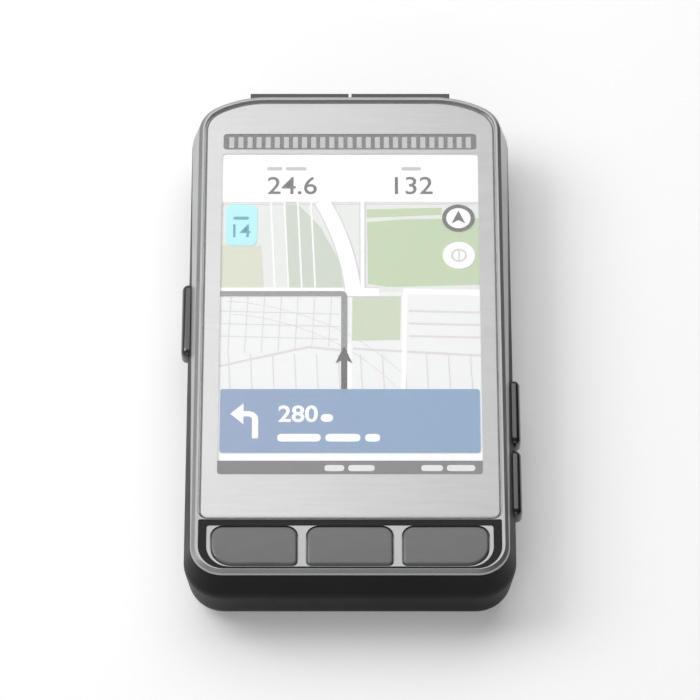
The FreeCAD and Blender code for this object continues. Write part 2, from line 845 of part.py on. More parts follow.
def cut_back(body):
    """Everything cut from the outside of the back."""
    pocket(body, circle_sketch(body, "dish", 0, 0, -BEYOND, d.dish_radius),
           d.dish_deep + BEYOND)
    pocket(body, circles_sketch(body, "cleat_pilots", CLEAT_SCREWS, d.dish_deep, d.cleat_hole),
           d.cleat_thread_deep)
    pocket(body, rectangle_sketch(body, "flap_pocket", 0, d.flap_pocket_y, -BEYOND,
                                  d.flap_pocket_wide, d.flap_pocket_long,
                                  d.flap_pocket_corner),
           d.flap_pocket_deep + BEYOND)
    pocket(body, rectangle_sketch(body, "port_mouth", 0, d.usb_place, d.floor_thick - 1.0,
                                  d.usb_mouth_wide, d.usb_mouth_thick, 1.5), d.usb_chimney_high)
    pocket(body, rectangle_sketch(body, "port_seal_seat", 0, d.usb_place, d.usb_seal_low,
                                  d.usb_seal_wide, d.usb_seal_thick, 2.0), BEYOND)
    pocket(body, rectangle_sketch(body, "lanyard_pocket", d.lanyard_x, d.lanyard_y, -BEYOND,
                                  d.lanyard_wide, d.lanyard_long, 1.0),
           d.lanyard_deep + BEYOND)
    pocket(body, circle_sketch(body, "pin_hole", d.lanyard_x, d.lanyard_y, d.lanyard_pin_height,
                               d.lanyard_pin, "YZ_Plane"),
           d.lanyard_wide + 2 * d.wall_thin - 0.4, both=True)
    pocket(body, circles_sketch(body, "screw_wells", HOUSING_SCREWS, -BEYOND,
                                d.head_radius + d.screw_clear), d.screw_seat + BEYOND)
    pocket(body, circles_sketch(body, "screw_holes", HOUSING_SCREWS, d.screw_seat - 1.0,
                                d.shank_radius + d.screw_clear), d.boss_high)
    for step in (-1, 0, 1):
        slot = rectangle_sketch(body, "sound_slot_%d" % (step + 1),
                                d.speaker_x + d.sound_slot_pitch * step, d.speaker_y, -BEYOND,
                                d.sound_slot_wide, d.sound_slot_long, 0.5)
        pocket(body, slot, 2 * BEYOND)
    spots = [(d.vent_x + d.vent_pitch * step, d.vent_y) for step in (-1, 0, 1)]
    pocket(body, circles_sketch(body, "vent_holes", spots, -BEYOND, d.vent_hole), 2 * BEYOND)


def rear_housing():
    """Black rear housing: tub, tongue that laps inside the frame, dish, bosses and openings."""
    body = start_body("rear_housing")
    outer_form(body)
    split_cut(body, False, -d.seam_gap)
    pad(body, form_sketch(body, "tongue", d.lap_inset + d.fit_gap, d.crease_height),
        d.tongue_top - d.crease_height)
    pocket(body, form_sketch(body, "above_tongue", d.lap_inset, d.tongue_top), BEYOND * 2)
    pocket(body, form_sketch(body, "cavity", d.cavity_inset, d.floor_thick),
           d.front_height)
    dress(body, "Fillet", d.floor_edge, at_height(d.floor_thick))
    raise_inner_walls(body)
    cut_back(body)
    cut_side_openings(body)
    pocket(body, circle_sketch(body, "duct_notch", d.duct_x, d.sensor_y, d.duct_height,
                               d.duct_radius + d.screw_clear, "XZ_Plane"),
           d.body_length / 10, back=True)
    node("rear_housing", body)


def frame_gasket():
    """Silicone ring squeezed between the tongue of the housing and the deck of the frame."""
    body = start_body("frame_gasket")
    ring = 2 * d.fit_gap
    pad(body, form_sketch(body, "outside", d.lap_inset + ring, d.tongue_top),
        d.deck_low - d.tongue_top)
    pocket(body, form_sketch(body, "inside", d.cavity_inset, d.tongue_top - BEYOND), 3 * BEYOND)
    node("frame_gasket", body)


# ---------------------------------------------------------------- glass and display


def glass_form(body, name, shrink, z):
    """The glass outline, drawn smaller all round by shrink, at height z."""
    inset = (d.body_width - d.glass_width) / 2 + shrink
    sketch = sketch_at(body, name, 0, d.glass_middle, z)
    draw_form(sketch, d.glass_width - 2 * Size.of(shrink), d.glass_length - 2 * Size.of(shrink),
              d.top_corner - inset, d.top_crown - inset, d.glass_corner - shrink)
    return sketch


def front_glass():
    """Cover glass with softened edges."""
    body = start_body("front_glass")
    pad(body, glass_form(body, "glass", 0, d.glass_low), d.glass_high - d.glass_low)
    dress(body, "Fillet", d.glass_round, at_height(d.glass_high))
    node("front_glass", body)


def glass_print():
    """Light print on the back of the glass, with a window for the screen and for the lights."""
    body = start_body("glass_print")
    low = d.glass_low - d.print_gap - d.print_thick
    pad(body, glass_form(body, "print", d.print_inset, low), d.print_thick)
    pocket(body, rectangle_sketch(body, "view", 0, d.view_middle, low - BEYOND, d.view_width,
                                  d.view_length, d.window_corner), 3 * BEYOND)
    pocket(body, rectangle_sketch(body, "strip", 0, d.strip_middle, low - BEYOND, d.strip_width,
                                  d.strip_height, d.window_corner), 3 * BEYOND)
    node("glass_print", body)


def glass_adhesive():
    """Thin adhesive frame that holds the glass on the deck."""
    body = start_body("glass_adhesive")
    pad(body, glass_form(body, "tape", d.tape_inset, d.deck_high),
        d.glass_low - d.print_gap - d.print_thick - d.deck_high)
    pocket(body, rectangle_sketch(body, "tape_window", 0, d.ledge_middle, d.deck_high - BEYOND,
                                  d.ledge_width, d.ledge_length, d.ledge_corner), 3 * BEYOND)
    node("glass_adhesive", body)


def plate(name, x, y, z, width, length, height, corner=0.6):
    """A flat piece with rounded corners, as a body of its own."""
    body = start_body(name)
    pad(body, rectangle_sketch(body, name + "_outline", x, y, z, width, length, corner), height)
    return body


def display_stack():
    """Panel, light guide, steel tray and foam, from the glass downward."""
    node("display_panel", plate("display_panel", 0, d.panel_middle, d.panel_low, d.panel_width,
                                d.panel_length, d.panel_high - d.panel_low))
    guide_width = d.panel_width - 2 * (d.tray_wall + d.fit_gap)
    guide_length = d.panel_length - 2 * (d.tray_wall + d.fit_gap)
    node("backlight_guide", plate("backlight_guide", 0, d.panel_middle, d.tray_low + d.tray_wall,
                                  guide_width, guide_length,
                                  d.panel_low - d.tray_low - d.tray_wall))
    tray = plate("display_tray", 0, d.panel_middle, d.tray_low, d.panel_width, d.panel_length,
                 d.panel_low - d.tray_low)
    hollow = rectangle_sketch(tray, "tray_hollow", 0, d.panel_middle, d.tray_low + d.tray_wall,
                              d.panel_width - 2 * d.tray_wall, d.panel_length - 2 * d.tray_wall,
                              0.4)
    pocket(tray, hollow, BEYOND)
    node("display_tray", tray)
    foam = plate("display_foam", 0, d.panel_middle, d.foam_low, d.foam_width, d.foam_length,
                 d.tray_low - d.foam_low)
    window = rectangle_sketch(foam, "foam_window", 0, d.panel_middle, d.foam_low,
                              d.foam_width - 2 * d.foam_rim, d.foam_length - 2 * d.foam_rim, 1.0)
    pocket(foam, window, BEYOND)
    node("display_foam", foam)


def status_lights():
    """The row of lights above the screen: board, lights, light guide and slotted mask."""
    width, depth = d.panel_width - 1.0, d.strip_height + 0.2
    board = block("led_board_blank", 0, d.strip_middle, d.tray_low - 0.3, width, depth, 0.8)
    chips = [block("led_%d" % number, d.led_pitch * (number - (LIGHTS - 1) / 2), d.strip_middle,
                   d.tray_low + 0.5, 0.9, 1.6, 0.7) for number in range(LIGHTS)]
    node("led_board", fuse("led_board_parts", [board] + chips))
    bar = block("guide_bar", 0, d.strip_middle, d.led_guide_low, width, depth, d.led_guide_thick)
    teeth = [block("tooth_%d" % number, d.led_pitch * (number - (LIGHTS - 1) / 2), d.strip_middle,
                   d.led_guide_low + d.led_guide_thick, d.led_wide, d.led_long,
                   d.led_tooth_high) for number in range(LIGHTS)]
    node("led_light_guide", fuse("led_guide_parts", [bar] + teeth))
    mask_low = d.led_guide_low + d.led_guide_thick
    mask = block("mask_blank", 0, d.strip_middle, mask_low, width, depth, 0.6)
    slots = [block("slot_%d" % number, d.led_pitch * (number - (LIGHTS - 1) / 2), d.strip_middle,
                   mask_low - 0.5, d.led_wide + 0.1, d.led_long + 0.1, BEYOND)
             for number in range(LIGHTS)]
    node("led_mask", cut("mask_cut", mask, fuse("slots", slots)))


# ---------------------------------------------------------------- front keys


def front_key(name):
    """A front key: rounded cap that fills its pocket and a stem that reaches through the deck."""
    side = KEYS[name]
    body = start_body(name)
    right, left = key_radii(side)
    cap = sketch_at(body, name + "_cap", side * d.key_pitch, -d.key_row, d.key_low)
    draw_rectangle(cap, d.key_width, d.key_length, d.key_corner, right, left)
    pad(body, cap, d.key_high - d.key_low)
    dress(body, "Fillet", d.key_edge, at_height(d.key_high))
    stem = rectangle_sketch(body, name + "_stem", side * d.key_pitch, -d.key_row, d.key_stem_low,
                            d.key_stem_width, d.key_stem_length, d.stem_corner)
    pad(body, stem, d.key_low - d.key_stem_low)
    node(name, body)


def key_dome(name):
    """The silicone dome under one key, which squashes as the key goes down."""
    side = KEYS[name]
    dome = doc.addObject("Part::Cone", name + "_dome_cone")
    bind(dome, "Radius1", d.dome_base)
    bind(dome, "Radius2", d.dome_tip)
    bind(dome, "Height", d.key_stem_low - d.key_board_high)
    place(dome, side * d.key_pitch, -d.key_row, d.key_board_high)
    node(name + "_dome", dome)


def key_board():
    """Circuit board under the keys, and the seal strip between the glass and the keys."""
    middle = 0.9 - d.key_row
    node("key_board", plate("key_board", 0, middle, d.key_board_low, d.board_width,
                            d.key_board_long, d.key_board_high - d.key_board_low))
    strip = plate("seal_strip", 0, d.strip_place, d.seal_low, d.seal_width, d.seal_length,
                  d.seal_high - d.seal_low, 0.45)
    node("lower_seal_strip", strip)


# ---------------------------------------------------------------- side buttons


def side_button(name):
    """A button pushed in from inside: bar through the wall and a flange that keeps it in."""
    side, y, length = SIDE_BUTTONS[name]
    back = side == -1
    wall = d.body_width / 2 - d.cavity_inset
    body = start_body(name)
    inner = wall - d.side_inset
    bar = rectangle_sketch(body, name + "_bar", side * inner, y, d.side_height, length,
                           d.side_tall, d.side_round, "YZ_Plane")
    pad(body, bar, d.body_width / 2 + d.side_proud - inner, back=back)
    outer = side * (d.body_width / 2 + d.side_proud).number
    dress(body, "Fillet", d.side_rim,
          lambda edge: all(abs(vertex.X - outer) < 1e-3 for vertex in edge.Vertexes))
    flange = rectangle_sketch(body, name + "_flange", side * (inner - d.side_flange_thick), y,
                              d.side_height, length + d.side_flange, d.side_tall + d.side_flange,
                              d.side_round, "YZ_Plane")
    pad(body, flange, d.side_flange_thick, back=back)
    node(name, body)


def side_seal(name):
    """Silicone collar in the recess behind one side button's opening."""
    side, y, length = SIDE_BUTTONS[name]
    back = side == -1
    wall = d.body_width / 2 - d.cavity_inset
    body = start_body(name + "_seal")
    extra = d.recess_extra - d.seal_slack
    collar = rectangle_sketch(body, name + "_collar", side * (wall + d.seal_slack / 2), y,
                              d.side_height,
                              length + extra, d.side_tall + extra, d.side_round, "YZ_Plane")
    pad(body, collar, d.recess_deep - d.seal_slack, back=back)
    hole = rectangle_sketch(body, name + "_collar_hole", side * (wall - 1.0), y, d.side_height,
                            length + 2 * d.seal_slack, d.side_tall + 2 * d.seal_slack,
                            d.side_round, "YZ_Plane")
    pocket(body, hole, 2 * BEYOND, back=back)
    node(name + "_seal", body)


def side_switches():
    """Upright switch boards behind the side buttons, a switch facing each button."""
    for board_name, side, names in (("power_switch_board", -1, ["power_button"]),
                                    ("zoom_switch_board", 1,
                                     ["zoom_out_button", "zoom_in_button"])):
        places = [SIDE_BUTTONS[name][1] for name in names]
        middle = (places[0] + places[-1]) / 2
        spread = places[-1] - places[0] + 10.0
        pieces = [block(board_name + "_blank", side * (d.switch_face - 2.5), middle,
                        d.side_height - 3.0, 0.8, spread, 5.6)]
        for number, y in enumerate(places):
            pieces.append(block("%s_case_%d" % (board_name, number),
                                side * (d.switch_face - 1.35), y, d.side_height - 1.8,
                                1.5, 3.8, 3.6))
            actuator = rod("%s_tip_%d" % (board_name, number),
                           side * (d.switch_face - 0.8) - (0.8 if side == -1 else 0), y,
                           d.side_height, 0.8, 0.8, "x")
            pieces.append(actuator)
        node(board_name, fuse(board_name + "_parts", pieces))


# ---------------------------------------------------------------- inside


def chassis_plate():
    """Metal plate that carries the display above and the main board below."""
    body = start_body("chassis_plate")
    top = d.board_top - 0.1
    length = top - d.chassis_bottom
    middle = (top + d.chassis_bottom) / 2
    pad(body, rectangle_sketch(body, "chassis", 0, middle, d.chassis_low, d.board_width, length,
                               2.0), d.foam_low - d.chassis_low)
    ears = rectangle_sketch(body, "ears", 0, d.ear_middle, d.chassis_low, d.ear_span, d.ear_long,
                            2.0)
    pad(body, ears, d.foam_low - d.chassis_low)
    gap = rectangle_sketch(body, "ear_gap", 0, d.ear_middle + 2.5, d.chassis_low - BEYOND,
                           d.ear_gap_span, d.ear_long, 1.0)
    pocket(body, gap, 2 * BEYOND)
    pocket(body, rectangle_sketch(body, "flex_slot", 0, d.flex_place, d.chassis_low - BEYOND,
                                  d.flex_wide + 1.0, d.flex_thick + 1.0, 0.4), 3 * BEYOND)
    pad(body, circles_sketch(body, "chassis_bosses", BOARD_SCREWS,
                             d.board_low + d.board_thick, d.stud_radius),
        d.chassis_low - d.board_low - d.board_thick + d.fit_gap)
    pocket(body, circles_sketch(body, "boss_pilots", BOARD_SCREWS, d.board_low, d.small_shank),
           d.chassis_low - d.board_low)
    pocket(body, circles_sketch(body, "ear_holes", CHASSIS_SCREWS, d.chassis_low - BEYOND,
                                d.small_shank + 0.1), 3 * BEYOND)
    step = rectangle_sketch(body, "step_plate", 0, d.step_middle, d.step_low, d.board_width - 2.0,
                            d.step_long, 1.5)
    pad(body, step, d.key_board_low - d.step_low)
    riser = rectangle_sketch(body, "riser", 0, d.chassis_bottom + 0.4, d.step_low,
                             d.board_width - 16.0, 0.8, 0.3)
    pad(body, riser, d.foam_low - d.step_low)
    pocket(body, circles_sketch(body, "post_holes", HOUSING_SCREWS[:2], d.step_low - BEYOND,
                                d.post_radius + 0.4), 4 * BEYOND)
    node("chassis_plate", body)


def main_board():
    """Main circuit board, notched beside the buttons, with a tab for the air sensor."""
    body = start_body("main_board")
    length = d.board_bottom + d.board_top
    middle = (d.board_top - d.board_bottom) / 2
    pad(body, rectangle_sketch(body, "board", 0, middle, d.board_low, d.board_width, length, 3.0),
        d.board_thick)
    pad(body, rectangle_sketch(body, "board_tab", 0, d.board_top, d.board_low, d.tab_span,
                               d.tab_long, 1.5), d.board_thick)
    pocket(body, circles_sketch(body, "board_post_holes", HOUSING_SCREWS[:2],
                                d.board_low - BEYOND, d.boss_radius + 0.4), 3 * BEYOND)
    pocket(body, circles_sketch(body, "board_screw_holes", BOARD_SCREWS, d.board_low - BEYOND,
                                d.small_shank + 0.1), 3 * BEYOND)
    for name, side, y, span in (("left_notch", -1, d.power_place, d.power_long),
                                ("right_notch", 1, d.zoom_place, d.zoom_pitch + d.zoom_long)):
        pocket(body, rectangle_sketch(body, name, side * d.board_width / 2, y,
                                      d.board_low - BEYOND, 2 * d.notch_deep,
                                      span + d.notch_extra, 0.8), 3 * BEYOND)
    node("main_board", body)


# place along X and Y, width and length of each part on the main board's front face
SHIELDS = ((-6.0, 31.0, 26.0, 24.0), (10.0, -4.0, 24.0, 18.0))
CHIPS = ((-6.0, 31.0, 12.0, 12.0), (6.0, -4.0, 8.0, 8.0), (15.0, -4.0, 6.0, 8.0),
         (-14.0, -4.0, 7.0, 9.0))


def board_parts():
    """Shields, open toward the board, and the chips under and beside them."""
    top = d.board_low + d.board_thick
    shields = []
    for number, (x, y, width, length) in enumerate(SHIELDS):
        can = block("can_%d" % number, x, y, top, width, length, d.shield_high)
        room = block("can_room_%d" % number, x, y, top - 0.5, width - 2 * d.shield_sheet,
                     length - 2 * d.shield_sheet, d.shield_high + 0.5 - d.shield_sheet)
        shields.append(cut("shield_%d" % number, can, room))
    node("rf_shields", group("shield_group", shields))
    chips = [block("chip_%d" % number, x, y, top, width, length, d.chip_high)
             for number, (x, y, width, length) in enumerate(CHIPS)]
    node("main_chips", group("chip_group", chips))


def power_parts():
    """Battery cell on its pad, with the lead that runs to the main board."""
    node("battery_cell", plate("battery_cell", 0, d.battery_middle, d.battery_low,
                               d.battery_width, d.battery_length, d.battery_high - d.battery_low,
                               1.5))
    node("battery_pad", plate("battery_pad", 0, d.battery_middle, d.floor_thick,
                              d.battery_width - 2 * d.pad_inset,
                              d.battery_length - 2 * d.pad_inset,
                              d.battery_low - d.floor_thick))
    end = d.battery_middle - d.battery_length / 2
    low = d.battery_high - 2 * d.lead_thick
    run = block("lead_run", d.lead_place, end - d.lead_thick, low, d.lead_wide,
                2 * d.lead_thick, d.lead_thick)
    rise = block("lead_rise", d.lead_place, end - 1.6 * d.lead_thick, low, d.lead_wide,
                 0.8 * d.lead_thick, d.board_low - low)
    node("battery_lead", fuse("battery_lead_parts", [run, rise]))


def flexes_and_sensors():
    """Satellite antenna, display flex and air sensor."""
    node("gnss_antenna", block("gnss_antenna_strip", 0, d.antenna_place, d.antenna_low,
                               d.antenna_span, d.antenna_thick, d.antenna_tall))
    board_face = d.board_low + d.board_thick
    bend_height = d.panel_low - 2 * d.flex_thick
    flex_up = block("flex_up", 0, d.flex_place, board_face, d.flex_wide, d.flex_thick,
                    bend_height - board_face)
    flex_over = block("flex_over", 0, d.flex_place + 2 * d.flex_thick, bend_height, d.flex_wide,
                      5 * d.flex_thick, d.flex_thick)
    node("display_flex", fuse("display_flex_parts", [flex_up, flex_over]))
    base = block("sensor_base", d.duct_x, d.sensor_y, board_face, d.sensor_size, d.sensor_size,
                 1.0)
    port = rod("sensor_port", d.duct_x, d.sensor_y, board_face + 1.0, 0.5, 0.9)
    node("air_sensor", fuse("air_sensor_parts", [base, port]))


def intake_tube():
    """Silicone tube from the grille, round a bend and down to the air sensor."""
    body = start_body("intake_tube")
    bend = d.tube_bend.number
    end = d.grille_back - 0.2
    foot = d.board_low + d.board_thick + 1.1
    path = sketch_at(body, "tube_path", d.duct_x, d.sensor_y, d.duct_height, "YZ_Plane")
    reach = (end - d.sensor_y).number
    drop = (d.duct_height - foot).number
    path.addGeometry([line(reach, 0, bend, 0), arc(bend, -bend, bend, 90, 180),
                      line(0, -bend, 0, -drop)])
    for index, kind in ((0, "Horizontal"), (2, "Vertical")):
        path.addConstraint(Sketcher.Constraint(kind, index))
    for index in (0, 1):
        path.addConstraint(Sketcher.Constraint("Tangent", index, 2, index + 1, 1))
    path.addConstraint(Sketcher.Constraint("PointOnObject", 0, 1, -1))
    path.addConstraint(Sketcher.Constraint("PointOnObject", 2, 1, -2))
    dimension(path, "Radius", (1,), "bend", d.tube_bend)
    dimension(path, "DistanceX", (-1, 1, 0, 1), "reach", end - d.sensor_y)
    dimension(path, "DistanceY", (2, 2, -1, 1), "drop", d.duct_height - foot)
    wall = sketch_at(body, "tube_section", d.duct_x, end, d.duct_height, "XZ_Plane")
    draw_circle(wall, d.duct_radius - 0.05)
    wall.addGeometry(Part.Circle(Vector(0, 0, 0), Vector(0, 0, 1), d.tube_bore.number))
    wall.addConstraint(Sketcher.Constraint("Coincident", 1, 3, -1, 1))
    dimension(wall, "Radius", (1,), "bore", d.tube_bore)
    tube = body.newObject("PartDesign::AdditivePipe", "tube")
    tube.Profile = wall
    tube.Spine = path
    finish(body, tube)
    node("intake_tube", body)


def intake_grille(name, side):
    """Half of the grille in the top end: a louvred bar that stands a little proud."""
    body = start_body(name)
    low, high = d.grille_low + d.fit_gap, d.grille_high - d.fit_gap
    half = (high - low) / 2
    depth_low, depth_high = d.grille_deep_low, d.grille_deep_high
    middle_x = side * (d.grille_half + d.grille_split) / 2
    sketch = sketch_at(body, name + "_section", middle_x, d.grille_back + 0.05,
                       (low + high) / 2, "YZ_Plane")
    h = half.number
    a, b = depth_low.number, depth_high.number
    sketch.addGeometry([line(0, -h, a, -h), line(a, -h, b, h), line(b, h, 0, h), line(0, h, 0, -h)])
    for index in range(4):
        sketch.addConstraint(Sketcher.Constraint("Coincident", index, 2, (index + 1) % 4, 1))
    for kind, index in (("Horizontal", 0), ("Horizontal", 2), ("Vertical", 3)):
        sketch.addConstraint(Sketcher.Constraint(kind, index))
    sketch.addConstraint(Sketcher.Constraint("PointOnObject", 0, 1, -2))
    dimension(sketch, "DistanceX", (0, 1, 0, 2), "deep_low", depth_low)
    dimension(sketch, "DistanceX", (2, 2, 2, 1), "deep_high", depth_high)
    dimension(sketch, "DistanceY", (0, 1, -1, 1), "half", half)
    dimension(sketch, "DistanceY", (3, 2, 3, 1), "tall", half * 2)
    pad(body, sketch, d.grille_half - d.grille_split, both=True)
    for step in (-1, 0, 1):
        louvre = rectangle_sketch(body, "%s_louvre_%d" % (name, step + 1), middle_x,
                                  d.grille_back - 1, (low + high) / 2 + d.louvre_pitch * step,
                                  d.grille_half - d.grille_split - d.louvre_end, d.louvre_tall,
                                  0.25, "XZ_Plane")
        pocket(body, louvre, 3 * BEYOND, back=True)
    node(name, body)


# ---------------------------------------------------------------- mounting and port

# underside of the cleat screws' heads
CLEAT_SEAT = d.ear_low + d.small_head_high + 0.2


def quarter_turn_cleat():
    """Metal cleat: neck, two ears that turn under a mount, and four screw holes."""
    neck = rod("neck", 0, 0, d.ear_low, d.neck_radius, d.dish_deep - d.ear_low)
    ears = []
    for name, start in (("ear_right", 0), ("ear_left", 180)):
        ear = doc.addObject("Part::Cylinder", name)
        bind(ear, "Radius", d.ear_radius)
        bind(ear, "Height", d.ear_high - d.ear_low)
        bind(ear, "Angle", 2 * d.ear_half_angle)
        turn = start - d.ear_half_angle.number
        ear.Placement = Placement(Vector(0, 0, 0), Rotation(Vector(0, 0, 1), turn))
        place(ear, 0, 0, d.ear_low)
        ears.append(ear)
    blank = fuse("cleat_blank", [neck] + ears)
    drills = [rod("cleat_dimple", 0, 0, 0, d.cleat_dimple, d.ear_low + d.cleat_dimple_deep)]
    for number, (x, y) in enumerate(CLEAT_SCREWS):
        drills.append(rod("cleat_drill_%d" % number, x, y, 0, d.small_shank + d.fit_gap,
                          2 * d.dish_deep))
        drills.append(rod("cleat_sink_%d" % number, x, y, 0, d.small_head + d.seal_slack,
                          CLEAT_SEAT))
    node("quarter_turn_cleat", cut("cleat_cut", blank, fuse("cleat_drills", drills)))


def screws(name, spots, seat, head_radius, head_high, shank_radius, shank):
    """Identical screws that point up, the undersides of their heads at one height."""
    solids = []
    for number, (x, y) in enumerate(spots):
        head_z = seat - head_high
        head = rod("%s_head_%d" % (name, number), x, y, head_z, head_radius, head_high)
        stem = rod("%s_stem_%d" % (name, number), x, y, seat - 0.1, shank_radius, shank + 0.1)
        socket = rod("%s_socket_%d" % (name, number), x, y, head_z - 0.5, head_radius * 0.45,
                     0.5 + head_high * 0.6)
        whole = fuse("%s_whole_%d" % (name, number), [head, stem])
        solids.append(cut("%s_screw_%d" % (name, number), whole, socket))
    node(name, group(name + "_group", solids))


def fasteners():
    """All the screws, each set in a node of its own."""
    small = d.small_shank - d.thread_slack
    screws("cleat_screws", CLEAT_SCREWS, CLEAT_SEAT, d.small_head, d.small_head_high, small,
           d.cleat_screw_long)
    screws("housing_screws", HOUSING_SCREWS, d.screw_seat, d.head_radius, d.head_high,
           d.shank_radius - d.thread_slack, d.post_low + d.pilot_deep - d.screw_seat - 0.6)
    screws("board_screws", BOARD_SCREWS, d.board_low, d.small_head, d.small_head_high, small,
           d.board_screw_long)
    screws("chassis_screws", CHASSIS_SCREWS, d.chassis_low, d.small_head, d.small_head_high,
           small, d.chassis_screw_long)


def usb_parts():
    """Upright USB-C receptacle, its seal and the rubber flap over it."""
    shell = plate("usb_shell", 0, d.usb_place, d.usb_shell_low, d.usb_shell_wide,
                  d.usb_shell_thick, d.board_low - d.usb_shell_low, d.usb_corner)
    pocket(shell, rectangle_sketch(shell, "usb_hollow", 0, d.usb_place, d.usb_shell_low - BEYOND,
                                   d.usb_shell_wide - 2 * d.usb_sheet,
                                   d.usb_shell_thick - 2 * d.usb_sheet,
                                   d.usb_corner - d.usb_sheet),
           d.board_low - d.usb_shell_low + BEYOND - 0.8)
    tongue = rectangle_sketch(shell, "usb_tongue", 0, d.usb_place, d.usb_shell_low + 0.8,
                              d.usb_tongue_wide, d.usb_tongue_thick, 0.2)
    pad(shell, tongue, d.board_low - d.usb_shell_low - 1.2)
    node("usb_connector", shell)
    seal = plate("usb_seal", 0, d.usb_place, d.usb_seal_low, d.usb_seal_wide - d.seal_slack,
                 d.usb_seal_thick - d.seal_slack, 0.9, d.usb_seal_high)
    pocket(seal, rectangle_sketch(seal, "usb_seal_hole", 0, d.usb_place, d.usb_seal_low - BEYOND,
                                  d.usb_shell_wide + d.thread_slack,
                                  d.usb_shell_thick + d.thread_slack, d.usb_corner),
           3 * BEYOND)
    node("usb_seal", seal)
    flap = plate("usb_flap", 0, d.flap_place, d.flap_low, d.flap_wide, d.flap_long,
                 d.flap_high - d.flap_low, d.flap_corner)
    pad(flap, rectangle_sketch(flap, "usb_plug", 0, d.usb_place, d.flap_high, d.flap_plug_wide,
                               d.flap_plug_thick, 0.8), d.flap_plug_high)
    bead = sketch_at(flap, "hinge_bead", 0, d.hinge_place, (d.flap_low + d.flap_high) / 2,
                     "YZ_Plane")
    draw_circle(bead, d.hinge_bead)
    pad(flap, bead, d.flap_wide - 2.0, both=True)
    node("usb_flap", flap)


def back_parts():
    """Lanyard pin, speaker with its mesh, and the vent membrane."""
    reach = d.lanyard_wide + 2 * d.wall_thin
    node("lanyard_pin", rod("lanyard_bar", d.lanyard_x - reach / 2 + 0.2, d.lanyard_y,
                            d.lanyard_pin_height, d.lanyard_pin, reach - 0.4, "x"))
    floor = d.floor_thick
    node("speaker_mesh", rod("mesh_disc", d.speaker_x, d.speaker_y, floor, d.speaker_radius - 0.8,
                             d.mesh_thick))
    node("speaker", rod("speaker_can", d.speaker_x, d.speaker_y, floor + 1.5 * d.mesh_thick,
                        d.speaker_radius, d.speaker_high))
    node("vent_membrane", rod("vent_disc", d.vent_x, d.vent_y, floor, d.vent_radius,
                              d.mesh_thick))


# ---------------------------------------------------------------- build and write


def build():
    """Make every sub-part, from the casing inward."""
    front_frame()
    rear_housing()
    frame_gasket()
    front_glass()
    glass_print()
    glass_adhesive()
    display_stack()
    status_lights()
    for key in KEYS:
        front_key(key)
        key_dome(key)
    key_board()
    for button in SIDE_BUTTONS:
        side_button(button)
        side_seal(button)
    side_switches()
    chassis_plate()
    main_board()
    board_parts()
    power_parts()
    flexes_and_sensors()
    intake_tube()
    intake_grille("intake_grille_left", -1)
    intake_grille("intake_grille_right", 1)
    quarter_turn_cleat()
    fasteners()
    usb_parts()
    back_parts()
    doc.recompute()


def check():
    """Stop if any object failed or any sub-part is empty or broken."""
    for thing in doc.Objects:
        if "Invalid" in thing.State or "Error" in thing.State:
            raise RuntimeError("%s: %s" % (thing.Label, thing.State))
    for part in NODES:
        if part.Shape.isNull() or not part.Shape.isValid() or not part.Shape.Solids:
            raise RuntimeError(part.Label + " has no valid solid")


def write():
    """Write one STEP file for each sub-part."""
    os.makedirs("parts", exist_ok=True)
    for part in NODES:
        part.Shape.exportStep("parts/%s.step" % part.Label)
    print(len(NODES), "sub-parts written")


build()
check()
write()
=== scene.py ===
import math

import bmesh
import bpy
from mathutils import Matrix, Vector


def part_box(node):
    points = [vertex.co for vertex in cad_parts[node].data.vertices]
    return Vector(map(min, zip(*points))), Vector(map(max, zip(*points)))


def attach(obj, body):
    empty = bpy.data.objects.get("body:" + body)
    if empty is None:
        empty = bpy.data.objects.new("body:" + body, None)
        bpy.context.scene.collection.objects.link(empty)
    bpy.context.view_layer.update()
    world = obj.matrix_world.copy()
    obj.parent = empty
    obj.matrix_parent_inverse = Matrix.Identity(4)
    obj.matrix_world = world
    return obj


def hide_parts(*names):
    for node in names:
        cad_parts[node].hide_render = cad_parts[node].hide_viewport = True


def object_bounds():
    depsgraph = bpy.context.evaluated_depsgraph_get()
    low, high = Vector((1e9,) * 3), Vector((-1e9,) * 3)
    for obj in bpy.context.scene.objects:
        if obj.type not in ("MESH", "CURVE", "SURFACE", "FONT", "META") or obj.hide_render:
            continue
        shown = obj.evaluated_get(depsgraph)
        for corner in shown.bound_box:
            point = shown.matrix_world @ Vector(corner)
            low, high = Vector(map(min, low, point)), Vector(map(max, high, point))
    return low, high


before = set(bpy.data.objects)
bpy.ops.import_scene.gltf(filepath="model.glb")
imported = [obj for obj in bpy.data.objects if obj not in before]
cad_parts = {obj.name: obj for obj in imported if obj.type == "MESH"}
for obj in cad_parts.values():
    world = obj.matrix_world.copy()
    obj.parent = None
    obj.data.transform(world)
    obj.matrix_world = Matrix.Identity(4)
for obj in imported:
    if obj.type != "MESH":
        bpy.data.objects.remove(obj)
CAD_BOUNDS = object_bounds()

bl_info = {
    "name": "Cycling Computer Looks",
    "version": (1, 0, 0),
    "blender": (4, 5, 0),
    "location": "View3D > Sidebar > Cycling Computer",
    "description": "Finishes, screen contents, keys and stage for a packed cycling computer",
    "category": "Object",
}

# One millimetre, and a length that counts as nothing, in metres.
MM = 0.001
TINY = 1e-7
ROOT = "housing"
KEYS = ("left_key", "centre_key", "right_key")
SIDE_BUTTONS = ("power_button", "zoom_out_button", "zoom_in_button")


# ---------------------------------------------------------------- node helpers


